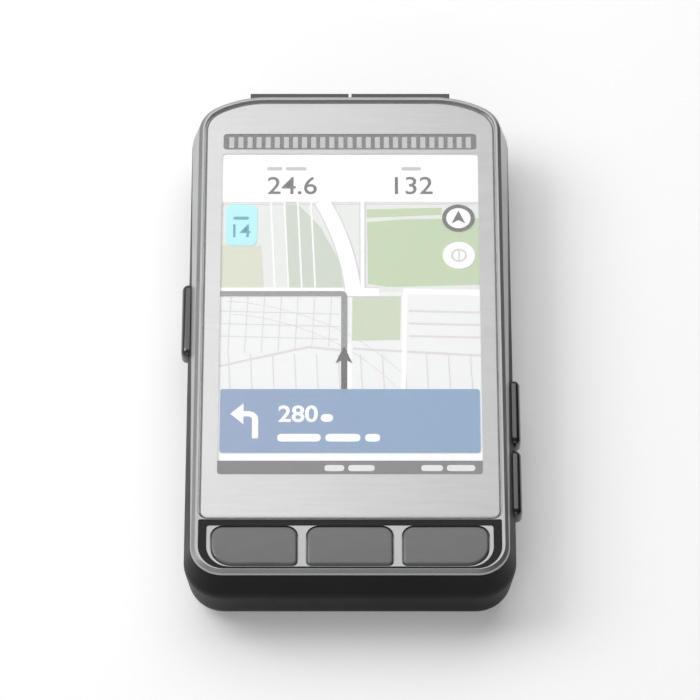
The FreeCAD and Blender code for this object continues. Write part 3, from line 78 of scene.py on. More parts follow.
class Shader:
    """One material's node tree, with short calls for the nodes that these finishes use."""

    def __init__(self, name, colour, roughness, metallic=0.0, specular=0.5):
        self.colour = colour[:3]
        self.material = bpy.data.materials.new(name)
        self.material.use_nodes = True
        self.tree = self.material.node_tree
        self.surface = self.tree.nodes["Principled BSDF"]
        self.set("Base Color", (*colour[:3], 1.0))
        self.set("Roughness", roughness)
        self.set("Metallic", metallic)
        self.set("Specular IOR Level", specular)
        self.material.diffuse_color = (*colour[:3], 1.0)
        self.coordinates = None

    def set(self, socket, value):
        """Set one of the shader's own sockets."""
        self.surface.inputs[socket].default_value = value

    def add(self, kind, **inputs):
        """A node with some of its inputs set."""
        item = self.tree.nodes.new(kind)
        for name, value in inputs.items():
            item.inputs[name.replace("_", " ")].default_value = value
        return item

    def link(self, output, socket):
        """Join an output to an input."""
        self.tree.links.new(output, socket)

    def place(self, scale=(1.0, 1.0, 1.0), turn=(0.0, 0.0, 0.0)):
        """Object coordinates, scaled and turned for one pattern."""
        if self.coordinates is None:
            self.coordinates = self.add("ShaderNodeTexCoord")
        mapping = self.add("ShaderNodeMapping", Scale=scale, Rotation=turn)
        self.link(self.coordinates.outputs["Object"], mapping.inputs["Vector"])
        return mapping.outputs["Vector"]

    def noise(self, size, detail=2.0, stretch=(1.0, 1.0, 1.0), sharp=0.5):
        """Noise whose lumps are about size metres across."""
        texture = self.add("ShaderNodeTexNoise", Scale=1.0 / size, Detail=detail,
                           Roughness=sharp)
        self.link(self.place(stretch), texture.inputs["Vector"])
        return texture.outputs["Fac"]

    def cells(self, size):
        """Distances in a field of cells about size metres across."""
        texture = self.add("ShaderNodeTexVoronoi", Scale=1.0 / size)
        self.link(self.place(), texture.inputs["Vector"])
        return texture.outputs["Distance"]

    def wave(self, pitch, turn=(0.0, 0.0, 0.0)):
        """Bands of a given pitch in metres across the X axis after a turn."""
        texture = self.add("ShaderNodeTexWave", Scale=math.pi / (10.0 * pitch))
        self.link(self.place(turn=turn), texture.inputs["Vector"])
        return texture.outputs["Fac"]

    def along(self, axis, low, high):
        """A number that runs from 0 to 1 between two places in metres along an axis."""
        split = self.add("ShaderNodeSeparateXYZ")
        self.link(self.place(), split.inputs["Vector"])
        return self.between(split.outputs[axis], 0.0, 1.0, low, high)

    def between(self, factor, low, high, start=0.0, stop=1.0):
        """A number that runs from low to high as factor runs from start to stop."""
        ranged = self.add("ShaderNodeMapRange", From_Min=start, From_Max=stop, To_Min=low,
                          To_Max=high)
        self.link(factor, ranged.inputs["Value"])
        return ranged.outputs["Result"]

    def tint(self, factor, first, second, start=0.0, stop=1.0):
        """A colour that runs from first to second as factor runs from start to stop."""
        ramp = self.add("ShaderNodeValToRGB")
        ramp.color_ramp.elements[0].position = start
        ramp.color_ramp.elements[0].color = (*first[:3], 1.0)
        ramp.color_ramp.elements[1].position = stop
        ramp.color_ramp.elements[1].color = (*second[:3], 1.0)
        self.link(factor, ramp.inputs["Fac"])
        return ramp.outputs["Color"]

    def bump(self, height, depth):
        """Surface relief of a given depth in metres."""
        relief = self.add("ShaderNodeBump", Strength=1.0, Distance=depth)
        self.link(height, relief.inputs["Height"])
        self.link(relief.outputs["Normal"], self.surface.inputs["Normal"])

    def mix(self, first, second, factor=None, kind="MIX"):
        """A colour mixed from two others, wholly so unless a node drives the share."""
        blend = self.add("ShaderNodeMix")
        blend.data_type = "RGBA"
        blend.blend_type = kind
        if factor:
            self.link(factor, blend.inputs["Factor"])
        else:
            blend.inputs["Factor"].default_value = 1.0
        self.link(first, blend.inputs["A"])
        self.link(second, blend.inputs["B"])
        return blend.outputs["Result"]

    def colour_from(self, output):
        """Let a node drive the base colour."""
        self.link(output, self.surface.inputs["Base Color"])

    def vary_colour(self, factor, low, high, start=0.3, stop=0.7):
        """Scale the base colour from low to high as a pattern runs from start to stop."""
        self.colour_from(self.tint(factor, scaled(self.colour, low), scaled(self.colour, high),
                                   start, stop))

    def vary_roughness(self, factor, low, high, start=0.3, stop=0.7):
        """Move the roughness from low to high as a pattern runs from start to stop."""
        self.link(self.between(factor, low, high, start, stop), self.surface.inputs["Roughness"])


def scaled(colour, factor):
    """A colour made lighter or darker."""
    return tuple(min(1.0, channel * factor) for channel in colour[:3])


# ---------------------------------------------------------------- finishes


def metallic_paint(name, colour, roughness):
    """Satin silver paint: fine flakes that catch the light under a thin clear coat."""
    shader = Shader(name, colour, roughness, metallic=0.75)
    flakes = shader.cells(0.00018)
    shader.vary_colour(flakes, 0.93, 1.06, 0.1, 0.7)
    cloud = shader.noise(0.012)
    shader.vary_roughness(cloud, roughness - 0.04, roughness + 0.05)
    shader.bump(shader.noise(0.00035), 0.000004)
    shader.set("Coat Weight", 0.25)
    shader.set("Coat Roughness", 0.22)
    return shader.material


def grained_plastic(name, colour, roughness, grain, depth):
    """Moulded plastic with a fine etched grain and faint unevenness of shine."""
    shader = Shader(name, colour, roughness, specular=0.14)
    pits = shader.noise(grain, detail=3.0, sharp=0.6)
    shader.bump(pits, depth)
    cloud = shader.noise(0.02)
    shader.vary_roughness(cloud, roughness - 0.05, roughness + 0.06)
    shader.vary_colour(pits, 0.85, 1.2, 0.35, 0.65)
    return shader.material


def soft_gloss(name, colour, roughness, coat):
    """Smooth moulded plastic with a soft gloss and a little orange peel."""
    shader = Shader(name, colour, roughness)
    peel = shader.noise(0.0011)
    shader.bump(peel, 0.000006)
    smear = shader.noise(0.006, stretch=(1.0, 2.2, 1.0))
    shader.vary_roughness(smear, roughness - 0.05, roughness + 0.07, 0.35, 0.7)
    shader.vary_colour(smear, 0.92, 1.08)
    shader.set("Coat Weight", coat)
    shader.set("Coat Roughness", 0.18)
    return shader.material


def rubber(name, colour):
    """Matt rubber or silicone with a fine dusty bloom."""
    shader = Shader(name, colour, 0.72, specular=0.35)
    bloom = shader.noise(0.0016, detail=4.0)
    shader.vary_colour(bloom, 0.8, 1.35, 0.3, 0.75)
    shader.vary_roughness(bloom, 0.62, 0.82)
    shader.bump(shader.noise(0.00028), 0.000008)
    shader.set("Sheen Weight", 0.12)
    return shader.material


def blasted_alloy(name, colour):
    """Bead-blasted alloy: small even dimples and a broad highlight."""
    shader = Shader(name, colour, 0.42, metallic=1.0)
    dimples = shader.cells(0.0003)
    shader.bump(dimples, 0.00001)
    stain = shader.noise(0.009, detail=3.0)
    shader.vary_colour(stain, 0.88, 1.08)
    shader.vary_roughness(stain, 0.36, 0.5)
    return shader.material


def turned_steel(name, colour):
    """Bright steel with faint turning marks."""
    shader = Shader(name, colour, 0.28, metallic=1.0)
    marks = shader.noise(0.0002, stretch=(1.0, 1.0, 0.1))
    shader.bump(marks, 0.000004)
    shader.vary_roughness(marks, 0.22, 0.36)
    shader.vary_colour(marks, 0.9, 1.05)
    return shader.material


def circuit_board(name, colour):
    """Solder mask over copper tracks, with small bright pads."""
    shader = Shader(name, colour, 0.38)
    tracks = shader.add("ShaderNodeTexBrick", Scale=900.0, Mortar_Size=0.02, Brick_Width=0.9,
                        Row_Height=0.35)
    shader.link(shader.place(), tracks.inputs["Vector"])
    tracks.inputs["Color1"].default_value = (*scaled(colour, 0.9), 1.0)
    tracks.inputs["Color2"].default_value = (*scaled(colour, 1.15), 1.0)
    tracks.inputs["Mortar"].default_value = (*scaled(colour, 1.9), 1.0)
    pads = shader.tint(shader.cells(0.0022), (0.75, 0.55, 0.2), colour, 0.12, 0.14)
    shader.colour_from(shader.mix(tracks.outputs["Color"], pads, kind="LIGHTEN"))
    shader.bump(tracks.outputs["Fac"], 0.00003)
    return shader.material


def foil(name, colour):
    """Laminated foil pouch with shallow wrinkles."""
    shader = Shader(name, colour, 0.34, metallic=0.9)
    wrinkles = shader.noise(0.007, detail=4.0, stretch=(1.0, 0.5, 1.0))
    shader.bump(wrinkles, 0.0003)
    shader.vary_roughness(wrinkles, 0.28, 0.45)
    shader.vary_colour(wrinkles, 0.9, 1.1)
    return shader.material


def flex_circuit(name, colour):
    """Amber film with copper lines running along it."""
    shader = Shader(name, colour, 0.3)
    lines = shader.wave(0.0008)
    shader.vary_colour(lines, 1.0, 1.7, 0.45, 0.55)
    shader.vary_roughness(lines, 0.25, 0.4, 0.0, 1.0)
    return shader.material


def woven_mesh(name, colour):
    """Fine acoustic cloth: two crossed sets of threads."""
    shader = Shader(name, colour, 0.8)
    across = shader.wave(0.00025)
    along = shader.wave(0.00025, turn=(0.0, 0.0, math.pi / 2))
    crossed = shader.add("ShaderNodeMath")
    crossed.operation = "MULTIPLY"
    shader.link(across, crossed.inputs[0])
    shader.link(along, crossed.inputs[1])
    shader.bump(crossed.outputs["Value"], 0.00005)
    shader.vary_colour(crossed.outputs["Value"], 1.0, 2.5, 0.0, 1.0)
    shader.set("Sheen Weight", 0.3)
    return shader.material


def foam(name, colour):
    """Closed-cell foam."""
    shader = Shader(name, colour, 0.9)
    bubbles = shader.cells(0.0006)
    shader.bump(bubbles, 0.00006)
    shader.vary_colour(bubbles, 1.6, 0.7, 0.1, 0.8)
    return shader.material


def clear_guide(name, colour, glow):
    """Frosted moulded plastic that carries a little light from the lamps behind it."""
    shader = Shader(name, colour, 0.35)
    frost = shader.noise(0.0005, detail=3.0)
    shader.vary_roughness(frost, 0.3, 0.5)
    shader.vary_colour(frost, 0.94, 1.0)
    shader.set("Emission Color", (*colour[:3], 1.0))
    shader.set("Emission Strength", glow)
    return shader.material


def print_with_painted_reflection(name, colour, roughness):
    """Silver ink printed on the back of the glass, finely brushed, with a painted reflection
    gradient: lighter at the left, darker towards the right.
    """
    shader = Shader(name, colour, roughness, metallic=0.35)
    # Painted reflection: the ink's colour falls to about two thirds from left to right, as a
    # reflection of the lights would make it.
    fade = shader.along("X", -0.034, 0.034)
    brushed = shader.noise(0.0009, detail=1.0, stretch=(0.08, 1.0, 1.0))
    left, right = (shader.tint(brushed, scaled(colour, low), scaled(colour, high), 0.35, 0.65)
                   for low, high in ((1.0, 1.05), (0.66, 0.72)))
    shader.colour_from(shader.mix(left, right, fade))
    cloud = shader.noise(0.03)
    shader.vary_roughness(cloud, roughness - 0.04, roughness + 0.04)
    return shader.material


def cover_glass(name, strength):
    """Thin clear glass: nearly see-through, with a little of a mirror's shine."""
    shader = Shader(name, (1.0, 1.0, 1.0), 0.04, metallic=1.0)
    shader.set("Alpha", strength)
    return shader.material


def screen_ink(name, colour, glow, fade=(1.0, 1.0, 1.0)):
    """One colour of the screen: a matt surface that also gives out its own light. Its colour
    fades from left to right by the factors given."""
    shader = Shader(name, colour, 0.55, specular=0.2)
    right = [channel * factor for channel, factor in zip(colour, fade)]
    shader.colour_from(shader.tint(shader.along("X", -0.028, 0.028), colour, right))
    shader.set("Emission Color", (*colour[:3], 1.0))
    shader.set("Emission Strength", glow)
    return shader.material


# ---------------------------------------------------------------- heights and places

# The screen's picture is built up in thin layers above the display panel. All these
# places are in millimetres.
PANEL_GAP = 0.02
INK_THICK = 0.02
LAYER_STEP = 0.035
STACK_STEP = 0.0006
STREET_LIFT = 0.02
CONTOUR_LIFT = 0.012
BANNER_LIFT = 0.03
ROUTE_WIDTH = 1.3
PANEL_LOW, PANEL_HIGH = (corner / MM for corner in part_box("display_panel"))
VIEW_LEFT, VIEW_RIGHT = PANEL_LOW.x + 1.0, PANEL_HIGH.x - 1.0
VIEW_FOOT, VIEW_TOP = -28.6, 53.8
BAR_TOP = -25.0
BANNER_FOOT, BANNER_TOP = -23.1, -7.3
MAP_TOP = 40.9
COMPASS, LOCATE = (23.6, 36.6), (23.6, 26.9)
# How the turn banner's red, green and blue change from its left end to its right.
BANNER_FADE = (0.72, 1.06, 1.03)
CASE_LOW, CASE_HIGH = (Vector(corner) for corner in CAD_BOUNDS)


def layer(number):
    """Height of one layer of the picture above the display panel."""
    return PANEL_HIGH.z + PANEL_GAP + number * LAYER_STEP


# ---------------------------------------------------------------- mesh helpers


def finish_piece(name, shape, material, body=ROOT, sharp=30.0):
    """Turn a bmesh into a piece that rides on a body, smooth but for edges over an angle."""
    bmesh.ops.dissolve_degenerate(shape, dist=TINY, edges=shape.edges[:])
    bmesh.ops.recalc_face_normals(shape, faces=shape.faces)
    mesh = bpy.data.meshes.new(name)
    shape.to_mesh(mesh)
    shape.free()
    mesh.materials.append(material)
    mesh.shade_smooth()
    mesh.set_sharp_from_angle(angle=math.radians(sharp))
    piece = bpy.data.objects.new(name, mesh)
    bpy.context.scene.collection.objects.link(piece)
    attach(piece, body)
    return piece


def picture(name, material, *marks):
    """A piece of the screen's picture. Each mark is a helper and the values to call it with."""
    shape = bmesh.new()
    for draw, *values in marks:
        draw(shape, *values)
    finish_piece(name, shape, material)


def round_off(shape, items, offset, steps, affect="EDGES"):
    """Round edges or corners by an offset in metres."""
    bmesh.ops.bevel(shape, geom=items, offset=offset, offset_type="OFFSET", segments=steps,
                    profile=0.5, affect=affect, material=-1)


def upright(edge):
    """True for an edge that runs straight up."""
    first, second = (vertex.co for vertex in edge.verts)
    return (first - second).xy.length < TINY


def edges_of(vertices):
    """The edges that meet some vertices, each once and in order."""
    return list(dict.fromkeys(edge for vertex in vertices for edge in vertex.link_edges))


def faces_of(vertices):
    """The faces that meet some vertices, each once and in order."""
    return list(dict.fromkeys(face for vertex in vertices for face in vertex.link_faces))


def slab(shape, low, high, corner=0.0, steps=6):
    """A box between two corners in millimetres, its upright edges rounded."""
    size = Vector(high) - Vector(low)
    middle = (Vector(high) + Vector(low)) / 2
    matrix = Matrix.Translation(middle * MM) @ Matrix.Diagonal((*(size * MM), 1.0))
    vertices = bmesh.ops.create_cube(shape, size=1.0, matrix=matrix)["verts"]
    if corner:
        edges = [edge for edge in edges_of(vertices) if upright(edge)]
        round_off(shape, edges, corner * MM, steps)


def thicken(shape, faces, thick):
    """Give flat faces a thickness by raising a copy of them."""
    made = bmesh.ops.extrude_face_region(shape, geom=faces, use_keep_orig=True)["geom"]
    raised = [item for item in made if isinstance(item, bmesh.types.BMVert)]
    bmesh.ops.translate(shape, verts=raised, vec=(0.0, 0.0, thick * MM))


def patch(shape, points, z, thick):
    """A flat plate with a few corner points, in millimetres."""
    vertices = [shape.verts.new((x * MM, y * MM, z * MM)) for x, y in points]
    thicken(shape, [shape.faces.new(vertices)], thick)


def strip(shape, start, end, width, z, thick):
    """A straight flat band between two points, in millimetres."""
    start, end = Vector(start), Vector(end)
    along = end - start
    middle = (start + end) / 2
    matrix = (Matrix.Translation((middle.x * MM, middle.y * MM, z * MM))
              @ Matrix.Rotation(math.atan2(along.y, along.x), 4, "Z")
              @ Matrix.Diagonal((along.length * MM, width * MM, 1.0, 1.0)))
    made = bmesh.ops.create_grid(shape, x_segments=1, y_segments=1, size=0.5, matrix=matrix)
    thicken(shape, faces_of(made["verts"]), thick)


def disc(shape, centre, radius, z, thick):
    """A flat round plate, in millimetres."""
    matrix = Matrix.Translation((centre[0] * MM, centre[1] * MM, z * MM))
    made = bmesh.ops.create_circle(shape, cap_ends=True, radius=radius * MM, segments=48,
                                   matrix=matrix)
    thicken(shape, faces_of(made["verts"]), thick)


def arc_band(shape, centre, radius, width, start, sweep, z, thick, steps=24):
    """A flat band along an arc, from a start angle through a sweep in degrees."""
    inner, outer = radius - width / 2, radius + width / 2
    angle = math.radians(start)
    pivot = Vector((centre[0], centre[1], z)) * MM
    ray = Vector((math.cos(angle), math.sin(angle), 0.0)) * MM
    ends = [shape.verts.new(pivot + ray * reach) for reach in (inner, outer)]
    edge = shape.edges.new(ends)
    full = abs(sweep) >= 360.0
    before = set(shape.faces)
    bmesh.ops.spin(shape, geom=[*ends, edge], cent=pivot, axis=(0.0, 0.0, 1.0),
                   angle=math.radians(sweep), steps=steps, use_merge=full)
    thicken(shape, [face for face in shape.faces if face not in before], thick)


def figures(shape, text, x, y, height, z, thick, weight):
    """Plain figures of a given height that stand on y and start at x, in millimetres. Weight
    widens their strokes, as a share of the font's size."""
    curve = bpy.data.curves.new("figures", "FONT")
    curve.body = text
    curve.offset = weight
    sign = bpy.data.objects.new("figures", curve)
    mesh = bpy.data.meshes.new_from_object(sign)
    old = set(shape.verts)
    shape.from_mesh(mesh)
    new = [vertex for vertex in shape.verts if vertex not in old]
    low = min(vertex.co.y for vertex in new)
    scale = height * MM / (max(vertex.co.y for vertex in new) - low)
    left = min(vertex.co.x for vertex in new)
    for vertex in new:
        vertex.co = ((vertex.co.x - left) * scale + x * MM, (vertex.co.y - low) * scale + y * MM,
                     z * MM)
    thicken(shape, faces_of(new), thick)
    bpy.data.objects.remove(sign)
    bpy.data.curves.remove(curve)
    bpy.data.meshes.remove(mesh)


def words(shape, x, y, lengths, height, z, thick, gap=0.9):
    """Round-ended bars that stand for a line of words, in millimetres."""
    for length in lengths:
        slab(shape, (x, y, z), (x + length, y + height, z + thick), height * 0.45, 4)
        x += length + gap


# ---------------------------------------------------------------- settings


def colour_property(name, description, default):
    """A colour that a user can change."""
    return bpy.props.FloatVectorProperty(name=name, description=description, default=default,
                                         subtype="COLOR", size=3, min=0.0, max=1.0)


def number_property(name, description, default, unit="NONE", low=0.0, high=10.0):
    """A number that a user can change."""
    return bpy.props.FloatProperty(name=name, description=description, default=default,
                                   unit=unit, min=low, max=high)


class CasingSettings(bpy.types.PropertyGroup):
    """Colours and grain of the casing."""

    silver: colour_property("Frame Silver", "Paint of the front frame", (0.36, 0.363, 0.367))
    black: colour_property("Housing Black", "Moulded rear housing", (0.004, 0.004, 0.0044))
    print_grey: colour_property("Glass Print", "Light print around the screen",
                                (0.6, 0.6, 0.605))
    grain: number_property("Housing Grain", "Size of the etched grain", 0.00028, "LENGTH", 0.0001,
                           0.005)


class KeySettings(bpy.types.PropertyGroup):
    """Shape and colour of the front keys."""

    grey: colour_property("Key Grey", "Dark grey of the front keys", (0.12, 0.121, 0.124))
    crown: number_property("Crown", "How far a key's edge falls below its middle", 0.00028,
                           "LENGTH", 0.0, 0.001)
    corner: number_property("Corner", "Radius of a key's top corners", 0.0024, "LENGTH", 0.0,
                            0.01)
    inner_corner: number_property("Inner Corner", "Radius of the bottom corners between keys",
                                  0.001, "LENGTH", 0.0, 0.01)
    outer_corner: number_property("Outer Corner", "Radius of the row's two outer bottom corners",
                                  0.0044, "LENGTH", 0.0, 0.01)


class ScreenSettings(bpy.types.PropertyGroup):
    """Colours of the picture on the screen."""

    glow: number_property("Glow", "Light given out by the picture", 0.12)
    paper: colour_property("Paper", "Ground of the data row", (0.96, 0.965, 0.97))
    ground: colour_property("Ground", "Open ground on the map", (0.75, 0.775, 0.74))
    park: colour_property("Park", "Parks on the map", (0.475, 0.6, 0.365))
    banner: colour_property("Banner", "Turn banner", (0.19, 0.28, 0.478))
    badge: colour_property("Badge", "Badge at the map's corner", (0.42, 0.85, 0.93))
    bar: colour_property("Status Bar", "Bar at the screen's foot", (0.11, 0.11, 0.115))
    ink: colour_property("Ink", "Digits and lines", (0.08, 0.08, 0.085))


class StageSettings(bpy.types.PropertyGroup):
    """Camera, floor and light."""

    floor: colour_property("Floor", "Pale studio floor", (0.9, 0.9, 0.905))
    elevation: number_property("Elevation", "Camera height above the screen's plane",
                               math.radians(57.5), "ROTATION", 0.0, 1.6)
    distance: number_property("Distance", "Camera distance from the middle", 1.05, "LENGTH", 0.1,
                              5.0)
    lens: bpy.props.FloatProperty(name="Lens", description="Focal length in millimetres",
                                  default=250.0, min=20.0, max=400.0)
    light: number_property("Light", "Strength of all the lamps", 1.0)


# ---------------------------------------------------------------- casing finishes


def paint(material, *names):
    """Give a material to every slot of some CAD nodes."""
    for name in names:
        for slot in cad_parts[name].material_slots:
            slot.material = material


class CasingFinish(bpy.types.Operator):
    """Finish the casing: frame, housing, glass, print, tape, grille and the two black strips"""

    bl_idname = "cyclo.casing_finish"
    bl_label = "Casing Finish"

    def execute(self, context):
        settings = context.scene.cyclo_casing
        paint(metallic_paint("silver_paint", settings.silver, 0.33), "front_frame")
        paint(grained_plastic("black_housing", settings.black, 0.42, settings.grain, 0.000018),
              "rear_housing")
        paint(cover_glass("cover_glass", 0.06), "front_glass")
        paint(print_with_painted_reflection("grey_print_painted_reflection", settings.print_grey, 0.4), "glass_print")
        # The adhesive is black. The band of it that shows through the glass's margin also paints
        # the shadow of the gap round the glass.
        paint(rubber("black_tape_and_painted_edge_shadow", (0.012, 0.012, 0.012)), "glass_adhesive")
        paint(soft_gloss("grille_plastic", (0.012, 0.012, 0.013), 0.25, 0.5),
              "intake_grille_left", "intake_grille_right")
        # The LED mask is truly black. The black strip below the glass is painted shadow, standing
        # in the gap between the glass and the keys, where shade falls.
        paint(soft_gloss("mask_black_and_painted_gap_shadow", (0.01, 0.01, 0.011), 0.3, 0.4), "lower_seal_strip",
              "led_mask")
        return {"FINISHED"}


class InnerFinish(bpy.types.Operator):
    """Finish the parts inside and on the back"""

    bl_idname = "cyclo.inner_finish"
    bl_label = "Inner Finish"

    def execute(self, context):
        paint(rubber("dark_silicone", (0.03, 0.03, 0.033)), "frame_gasket", "usb_seal",
              "intake_tube", "usb_flap", *(name + "_seal" for name in SIDE_BUTTONS),
              *(name + "_dome" for name in KEYS))
        paint(soft_gloss("panel_edge", (0.02, 0.02, 0.022), 0.3, 0.2), "display_panel")
        paint(clear_guide("light_guide", (0.85, 0.87, 0.87), 0.05), "backlight_guide")
        paint(clear_guide("lamp_guide", (0.5, 0.51, 0.5), 0.05), "led_light_guide")
        paint(turned_steel("steel", (0.58, 0.58, 0.6)), "display_tray", "rf_shields",
              "housing_screws", "cleat_screws", "board_screws", "chassis_screws", "lanyard_pin",
              "usb_connector")
        paint(foam("black_foam", (0.03, 0.03, 0.03)), "display_foam", "battery_pad")
        paint(circuit_board("solder_mask", (0.015, 0.09, 0.045)), "led_board", "key_board",
              "main_board", "power_switch_board", "zoom_switch_board")
        paint(blasted_alloy("alloy", (0.42, 0.42, 0.43)), "chassis_plate", "quarter_turn_cleat")
        paint(grained_plastic("chip_black", (0.02, 0.02, 0.021), 0.5, 0.0004, 0.00001),
              "main_chips", "air_sensor", "speaker")
        paint(foil("battery_foil", (0.45, 0.46, 0.48)), "battery_cell")
        paint(rubber("red_lead", (0.4, 0.03, 0.03)), "battery_lead")
        paint(flex_circuit("amber_film", (0.4, 0.19, 0.03)), "display_flex", "gnss_antenna")
        paint(woven_mesh("acoustic_mesh", (0.02, 0.02, 0.02)), "speaker_mesh", "vent_membrane")
        return {"FINISHED"}


# ---------------------------------------------------------------- keys


class FrontKeys(bpy.types.Operator):
    """Crowned front keys with rolled rims, in place of the plain ones"""

    bl_idname = "cyclo.front_keys"
    bl_label = "Front Keys"

    # Lengths in metres. The two falls are the shares of the crown at a side and at an end.
    rim = 0.00055
    rim_steps = 6
    corner_steps = 10
    slices = 14
    fall_across, fall_along = 0.35, 0.65
    cap_height = 0.0012
    stem_inset = Vector((0.0009, 0.00115, 0.0))
    stem_corner = 0.0012

    def make_cap(self, shape, low, high, radii):
        """The cap: a block with four corner radii and a rolled top rim."""
        matrix = (Matrix.Translation((low + high) / 2)
                  @ Matrix.Diagonal((*(high - low), 1.0)))
        bmesh.ops.create_cube(shape, size=1.0, matrix=matrix)
        for (side, end), radius in radii.items():
            corner = [edge for edge in shape.edges if upright(edge)
                      and (edge.verts[0].co.x - (low + high).x / 2) * side > 0
                      and (edge.verts[0].co.y - (low + high).y / 2) * end > 0
                      and abs(edge.verts[0].co.x - (high.x if side > 0 else low.x)) < TINY
                      and abs(edge.verts[0].co.y - (high.y if end > 0 else low.y)) < TINY]
            round_off(shape, corner, radius, self.corner_steps)
        rim = [edge for edge in shape.edges
               if all(abs(vertex.co.z - high.z) < TINY for vertex in edge.verts)]
        round_off(shape, rim, self.rim, self.rim_steps)

    def crown_top(self, shape, low, high, crown):
        """Slice the cap finely and let its top fall away from the middle."""
        middle, half = (low + high) / 2, (high - low) / 2
        for axis in (0, 1):
            normal = Vector((axis == 0, axis == 1, 0))
            for step in range(1, self.slices):
                point = middle.copy()
                point[axis] += half[axis] * (2.0 * step / self.slices - 1.0)
                bmesh.ops.bisect_plane(shape, geom=[*shape.verts, *shape.edges, *shape.faces],
                                       plane_co=point, plane_no=normal)
        for vertex in shape.verts:
            if vertex.co.z > high.z - self.rim - TINY:
                across = (vertex.co.x - middle.x) / half.x
                along = (vertex.co.y - middle.y) / half.y
                vertex.co.z -= crown * (self.fall_across * across ** 2
                                        + self.fall_along * along ** 2)

    def execute(self, context):
        settings = context.scene.cyclo_keys
        material = soft_gloss("key_plastic", settings.grey, 0.34, 0.35)
        for name in KEYS:
            low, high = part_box(name)
            cap_low = Vector((low.x, low.y, high.z - self.cap_height))
            radii = {(-1, 1): settings.corner, (1, 1): settings.corner,
                     (-1, -1): settings.inner_corner, (1, -1): settings.inner_corner}
            if name == "left_key":
                radii[(-1, -1)] = settings.outer_corner
            if name == "right_key":
                radii[(1, -1)] = settings.outer_corner
            shape = bmesh.new()
            self.make_cap(shape, cap_low, high, radii)
            self.crown_top(shape, cap_low, high, settings.crown)
            stem_high = Vector((high.x, high.y, cap_low.z)) - self.stem_inset
            slab(shape, (low + self.stem_inset) / MM, stem_high / MM, self.stem_corner / MM)
            piece = finish_piece(name + "_cap", shape, material, name, 35.0)
            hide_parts(name)
        return {"FINISHED"}


class KeySurround(bpy.types.Operator):
    """A black layer round the keys that paints the dark reflection of the frame's face there,
    leaving the silver to show as bright bars between the keys and a bright rim
    """

    bl_idname = "cyclo.key_surround"
    bl_label = "Key Surround"

    # Half width, foot and top of each loop, then its corner radii at the foot and the top,
    # all in millimetres.
    outer = (31.75, -51.8, -39.95, (5.5, 0.4))
    inner = (29.95, -51.32, -41.48, (4.9, 0.6))
    corner_steps = 12
    thick = 0.03

    def outline(self, shape, reach, foot, top, radii, z):
        """A closed loop of edges: a rectangle with one radius at its foot, one at its top."""
        middle = (foot + top) / 2
        matrix = (Matrix.Translation(Vector((0.0, middle, z)) * MM)
                  @ Matrix.Diagonal((2 * reach * MM, (top - foot) * MM, 1.0, 1.0)))
        vertices = bmesh.ops.create_grid(shape, x_segments=1, y_segments=1, size=0.5,
                                         matrix=matrix)["verts"]
        face = vertices[0].link_faces[0]
        for above, radius in zip((False, True), radii):
            ends = [vertex for vertex in face.verts if (vertex.co.y > middle * MM) == above]
            round_off(shape, ends, radius * MM, self.corner_steps, "VERTICES")
            face = max(shape.faces, key=lambda item: item.calc_area())
        bmesh.ops.delete(shape, geom=[face], context="FACES_ONLY")

    def execute(self, context):
        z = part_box("front_frame")[1].z / MM
        shape = bmesh.new()
        self.outline(shape, *self.outer, z)
        self.outline(shape, *self.inner, z)
        bmesh.ops.triangle_fill(shape, use_beauty=True, edges=shape.edges[:])
        thicken(shape, shape.faces[:], self.thick)
        # Painted reflection: this black layer stands where the frame's silver face round the keys
        # shows a dark reflection.
        dark_reflection_paint = grained_plastic("surround_painted_dark_reflection", (0.02, 0.02, 0.021), 0.5, 0.0004, 0.000003)
        finish_piece("key_surround", shape, dark_reflection_paint)
        return {"FINISHED"}


class SideButtonCaps(bpy.types.Operator):
    """Rounded glossy side buttons with their hidden flanges, in place of the plain ones"""

    bl_idname = "cyclo.side_buttons"
    bl_label = "Side Buttons"

    # Lengths in millimetres.
    flange_thick = 0.6
    flange_step = 0.5
    end_corner = 1.6
    corner_steps = 8
    rolled = 1.3
    rolled_steps = 8

    def execute(self, context):
        material = soft_gloss("button_plastic", (0.009, 0.009, 0.01), 0.2, 1.0)
        for name in SIDE_BUTTONS:
            low, high = (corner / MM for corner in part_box(name))
            side = 1.0 if high.x > 0.0 else -1.0
            face = high.x if side > 0.0 else low.x
            root = low.x if side > 0.0 else high.x
            step = root + side * self.flange_thick
            inset = Vector((0.0, 1.0, 1.0)) * self.flange_step
            shape = bmesh.new()
            self.bar(shape, sorted(((root + step) / 2, face)), low + inset, high - inset)
            rim = [edge for edge in shape.edges
                   if all(abs(vertex.co.x - face * MM) < TINY for vertex in edge.verts)]
            round_off(shape, rim, self.rolled * MM, self.rolled_steps)
            self.bar(shape, sorted((root, step)), low, high)
            piece = finish_piece(name + "_cap", shape, material, name, 40.0)
            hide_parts(name)
        return {"FINISHED"}

    def bar(self, shape, span, low, high):
        """A bar across the wall, with the corners that the side view shows rounded."""
        size = Vector((span[1] - span[0], high.y - low.y, high.z - low.z))
        middle = Vector((sum(span), high.y + low.y, high.z + low.z)) / 2
        matrix = Matrix.Translation(middle * MM) @ Matrix.Diagonal((*(size * MM), 1.0))
        vertices = bmesh.ops.create_cube(shape, size=1.0, matrix=matrix)["verts"]
        edges = [edge for edge in edges_of(vertices)
                 if abs(edge.verts[0].co.x - edge.verts[1].co.x) > TINY]
        round_off(shape, edges, self.end_corner * MM, self.corner_steps)


# ---------------------------------------------------------------- screen


